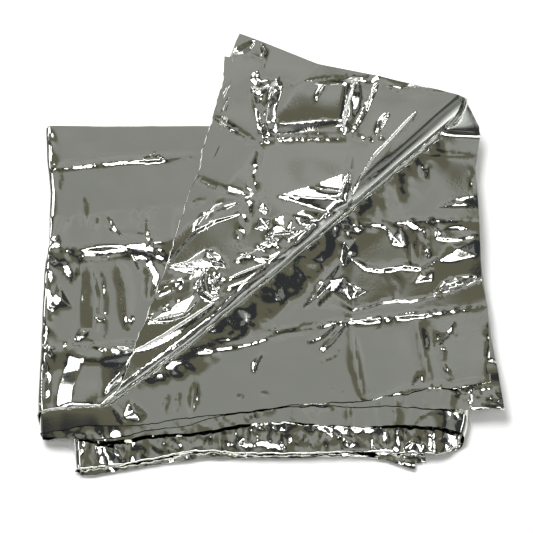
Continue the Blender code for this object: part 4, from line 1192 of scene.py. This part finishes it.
class Tree:
    """A node tree, and the one way to add a node to it."""

    def __init__(self, tree):
        self.tree = tree
        tree.nodes.clear()

    def node(self, kind, settings=(), values=()):
        made = self.tree.nodes.new("ShaderNode" + kind)
        for name, value in dict(settings).items():
            setattr(made, name, value)
        for name, value in dict(values).items():
            if isinstance(value, Signal):
                self.tree.links.new(value.socket, made.inputs[name])
            else:
                made.inputs[name].default_value = value
        return made

    def signal(self, node, name):
        return Signal(self, node.outputs[name])

    def mix(self, factor, a, b):
        return self.signal(self.node("Mix", {"data_type": "RGBA"}, {0: factor, 6: a, 7: b}), 2)

    def dot(self, a, b):
        return self.signal(self.node("VectorMath", {"operation": "DOT_PRODUCT"}, {0: a, 1: b}), "Value")

    def noise(self, place, scale, detail=2.0):
        made = self.node("TexNoise", {}, {"Vector": place, "Scale": scale, "Detail": detail})
        return self.signal(made, "Fac")

    def finish(self, kind, node):
        output = self.node(kind)
        self.tree.links.new(node.outputs[0], output.inputs[0])


# ---------------------------------------------------------------- film

FILM_DULL = (0.775, 0.79, 0.745, 1.0)
FILM_BRIGHT = (0.83, 0.835, 0.805, 1.0)
STREAKS = (3.0, 90.0, 1.0)  # rolling marks to a metre, along the sheet and across it
STREAK_HEIGHT = 0.35
CLOUDS = 26.0           # soft patches to a metre
CRACKLE = 150.0         # cells of the fine crackle to a metre
CRACKLE_HEIGHT = 0.35
CRACKLE_EDGE = 5.0      # how steep its lines are
CRACKLED = (0.47, 6.0)  # clouds over this are crackled, and how sharply
BUMP = {"Strength": 0.12, "Distance": 0.0004}
SMOOTHEST = 0.022       # roughness, to which the clouds and the streaks add
CLOUD_ROUGHNESS = 0.05
STREAK_ROUGHNESS = 0.02


def film_material():
    """Bright metallised polyester: a near mirror with faint rolling marks and fine crackle."""
    material = bpy.data.materials.new("metallised_film")
    material.use_nodes = True
    tree = Tree(material.node_tree)
    flat = tree.signal(tree.node("UVMap", {"uv_map": FLAT_MAP}), "UV")
    place = tree.signal(tree.node("TexCoord"), "Object")
    streaks = tree.signal(tree.node("Mapping", {}, {"Vector": flat, "Scale": STREAKS}), "Vector")
    marks = tree.noise(streaks, 1.0, 3.0)
    clouds = tree.noise(place, CLOUDS, 4.0)
    crackle = tree.signal(tree.node("TexVoronoi", {"feature": "DISTANCE_TO_EDGE"},
                                    {"Vector": flat, "Scale": CRACKLE}), "Distance")
    worn = ((clouds - CRACKLED[0]) * CRACKLED[1]).clamped()
    height = marks * STREAK_HEIGHT + (crackle * CRACKLE_EDGE).clamped() * worn * CRACKLE_HEIGHT
    bump = tree.node("Bump", {}, {**BUMP, "Height": height})
    tree.finish("OutputMaterial", tree.node("BsdfPrincipled", {}, {
        "Base Color": tree.mix(clouds, FILM_DULL, FILM_BRIGHT),
        "Metallic": 1.0,
        "Roughness": SMOOTHEST + clouds * CLOUD_ROUGHNESS + marks * STREAK_ROUGHNESS,
        "Normal": tree.signal(bump, "Normal")}))
    return material


def blanket():
    mesh = sheet_mesh("foil_sheet")
    mesh.materials.append(film_material())
    made = bpy.data.objects.new("foil_sheet", mesh)
    bpy.context.scene.collection.objects.link(made)
    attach(made, "root")
    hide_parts("blanket")
    return made


# ---------------------------------------------------------------- studio

CAMERA_ELEVATION = math.radians(70.0)
CAMERA_DISTANCE = 2.9
SENSOR_WIDTH = 36.0
PICTURE_WIDTH = 533.0   # pixels
PICTURE_SCALE = 812.0   # pixels to a metre, as far away as the blanket
CAMERA_LENS = SENSOR_WIDTH * PICTURE_SCALE * CAMERA_DISTANCE / PICTURE_WIDTH

FLOOR_HALF = 6.0
FLOOR_COLOUR = (0.92, 0.92, 0.92, 1.0)
FLOOR_ROUGHNESS = 0.9
LAMP_PLACE = (-0.8, 1.1, 2.3)
LAMP_SIZE = 1.6
LAMP_POWER = 92.0       # watts

# Directions are given in degrees to the right of, and towards the back from, this elevation
# above the back of the room.
OVERHEAD = math.radians(68.0)
WANDER_SCALE = 5.0      # edges of the panel and the cards wander,
WANDER_RIGHT = 9.0      # by up to half of these degrees
WANDER_BACK = 7.0

# The grey ceiling panel lies round this line, wider towards its end. Each ring outside it has the
# distance where it starts, a softness and a colour, and beyond the rings lies the room. Both the
# ceiling and the room are patchy: noise scale and detail, its level, and how sharp the patches are.
PANEL_LINE = ((2.5, -2.5), (-6.0, 18.0))
PANEL_SPREAD = 0.16
CEILING_DIM = (0.272, 0.279, 0.259, 1.0)
CEILING_NEAR = (0.318, 0.325, 0.304, 1.0)
CEILING_FAR = (0.335, 0.340, 0.320, 1.0)
RINGS = (
    (6.6, 3.6, (0.130, 0.126, 0.090, 1.0)),
    (14.0, 2.0, (0.032, 0.034, 0.037, 1.0)),
    (21.5, 1.0, (0.210, 0.212, 0.200, 1.0)),
    (25.0, 1.0, (0.045, 0.044, 0.040, 1.0)),
)
ROOM_FROM = (29.0, 2.0)
ROOM_DARK = (0.040, 0.040, 0.036, 1.0)
ROOM_PALE = (0.225, 0.230, 0.212, 1.0)
ROOM_PATCHES = (7.0, 3.0, 0.50, 14.0)
CEILING_PATCHES = (8.0, 4.0, 0.38, 4.0)
HORIZON_PALE = (0.62, 0.63, 0.62, 1.0)
HORIZON = (0.12, 0.36)  # up to this height the room is pale, and over this much more it fades

# White cards, and a grey one: centre and half sizes in the same degrees, and strength
Card = namedtuple("Card", "right back half_right half_back strength")
CARDS = (
    Card(-4, -33, 19, 7, 4.0),
    Card(33.5, -2, 5, 17, 3.5),
    Card(-41, 18, 6, 7, 3.5),
    Card(-22, 32, 7, 7, 3.5),
    Card(10, 42, 14, 6, 3.0),
    Card(-50, -24, 6, 10, 3.0),
    Card(44, 34, 7, 8, 3.0),
    Card(-20.5, -4, 4.5, 7, 3.5),
    Card(29, -33, 8, 10, 0.24),
)
CARD_BLUE = 0.985       # blue in a card's light, as a share of its red and green


def patches(tree, direction, scale, detail, level, sharpness):
    return ((tree.noise(direction, scale, detail) - level) * sharpness).clamped()


def panel_distances(right, back):
    """How far each direction lies along the panel's line, and outside the panel, in degrees,
    and the length of the line."""
    (a0, b0), (a1, b1) = PANEL_LINE
    length = math.dist((a0, b0), (a1, b1))
    ua, ub = (a1 - a0) / length, (b1 - b0) / length
    along = (((right - a0) * ua + (back - b0) * ub) / length).clamped() * length
    off_right, off_back = right - a0 - along * ua, back - b0 - along * ub
    away = (off_right ** 2.0 + off_back ** 2.0) ** 0.5 - along * PANEL_SPREAD
    return along, away, length


def studio_world():
    """Soft light: a grey ceiling panel, white cards beyond it, dark gaps, and a pale horizon."""
    world = bpy.data.worlds.new("studio")
    bpy.context.scene.world = world
    world.use_nodes = True
    tree = Tree(world.node_tree)
    direction = tree.signal(tree.node("TexCoord"), "Generated")
    up = tree.dot(direction, (0.0, 0.0, 1.0))
    forward = tree.dot(direction, (0.0, math.cos(OVERHEAD), math.sin(OVERHEAD)))
    rearward = tree.dot(direction, (0.0, math.sin(OVERHEAD), -math.cos(OVERHEAD)))
    wandering = tree.noise(direction, WANDER_SCALE) - 0.5
    right = tree.dot(direction, (1.0, 0.0, 0.0)).degrees("ARCSINE") + wandering * WANDER_RIGHT
    back = rearward.degrees("ARCTAN2", forward) - wandering * WANDER_BACK
    along, away, length = panel_distances(right, back)

    room = tree.mix(patches(tree, direction, *ROOM_PATCHES), ROOM_DARK, ROOM_PALE)
    ceiling = tree.mix(along / length, CEILING_NEAR, CEILING_FAR)
    colour = tree.mix(patches(tree, direction, *CEILING_PATCHES), CEILING_DIM, ceiling)
    for start, softness, ring in (*RINGS, (*ROOM_FROM, room)):
        colour = tree.mix(((away - start) / softness).clamped(), colour, ring)
    for card in CARDS:
        inside = ((card.half_right - abs(right - card.right)).clamped()
                  * (card.half_back - abs(back - card.back)).clamped())
        white = (card.strength, card.strength, card.strength * CARD_BLUE, 1.0)
        colour = tree.mix(inside, colour, white)
    colour = tree.mix((1.0 - (up - HORIZON[0]) / HORIZON[1]).clamped(), colour, HORIZON_PALE)
    tree.finish("OutputWorld", tree.node("Background", {}, {"Color": colour, "Strength": 1.0}))


def floor():
    mesh = bpy.data.meshes.new("floor")
    corners = [(x * FLOOR_HALF, y * FLOOR_HALF, 0) for x, y in ((-1, -1), (1, -1), (1, 1), (-1, 1))]
    mesh.from_pydata(corners, [], [(0, 1, 2, 3)])
    made = bpy.data.objects.new("floor", mesh)
    bpy.context.scene.collection.objects.link(made)
    material = bpy.data.materials.new("pale_floor")
    material.use_nodes = True
    shader = material.node_tree.nodes["Principled BSDF"]
    shader.inputs["Base Color"].default_value = FLOOR_COLOUR
    shader.inputs["Roughness"].default_value = FLOOR_ROUGHNESS
    mesh.materials.append(material)


def floor_light():
    """A broad overhead lamp for the floor alone: the film has its cards."""
    data = bpy.data.lights.new("overhead", "AREA")
    data.shape = "DISK"
    data.size = LAMP_SIZE
    data.energy = LAMP_POWER
    made = bpy.data.objects.new("overhead", data)
    made.location = LAMP_PLACE
    made.visible_glossy = False
    bpy.context.scene.collection.objects.link(made)


def camera():
    data = bpy.data.cameras.new("camera")
    made = bpy.data.objects.new("camera", data)
    bpy.context.scene.collection.objects.link(made)
    bpy.context.scene.camera = made
    data.sensor_width = SENSOR_WIDTH
    data.lens = CAMERA_LENS
    away = Vector((0.0, -math.cos(CAMERA_ELEVATION), math.sin(CAMERA_ELEVATION))) * CAMERA_DISTANCE
    made.location = away - Vector((MIDDLE[0], MIDDLE[1], 0.0))
    made.rotation_euler = (-away).to_track_quat("-Z", "Y").to_euler()


camera()
blanket()
floor()
floor_light()
studio_world()
bpy.context.scene.view_settings.view_transform = "Standard"
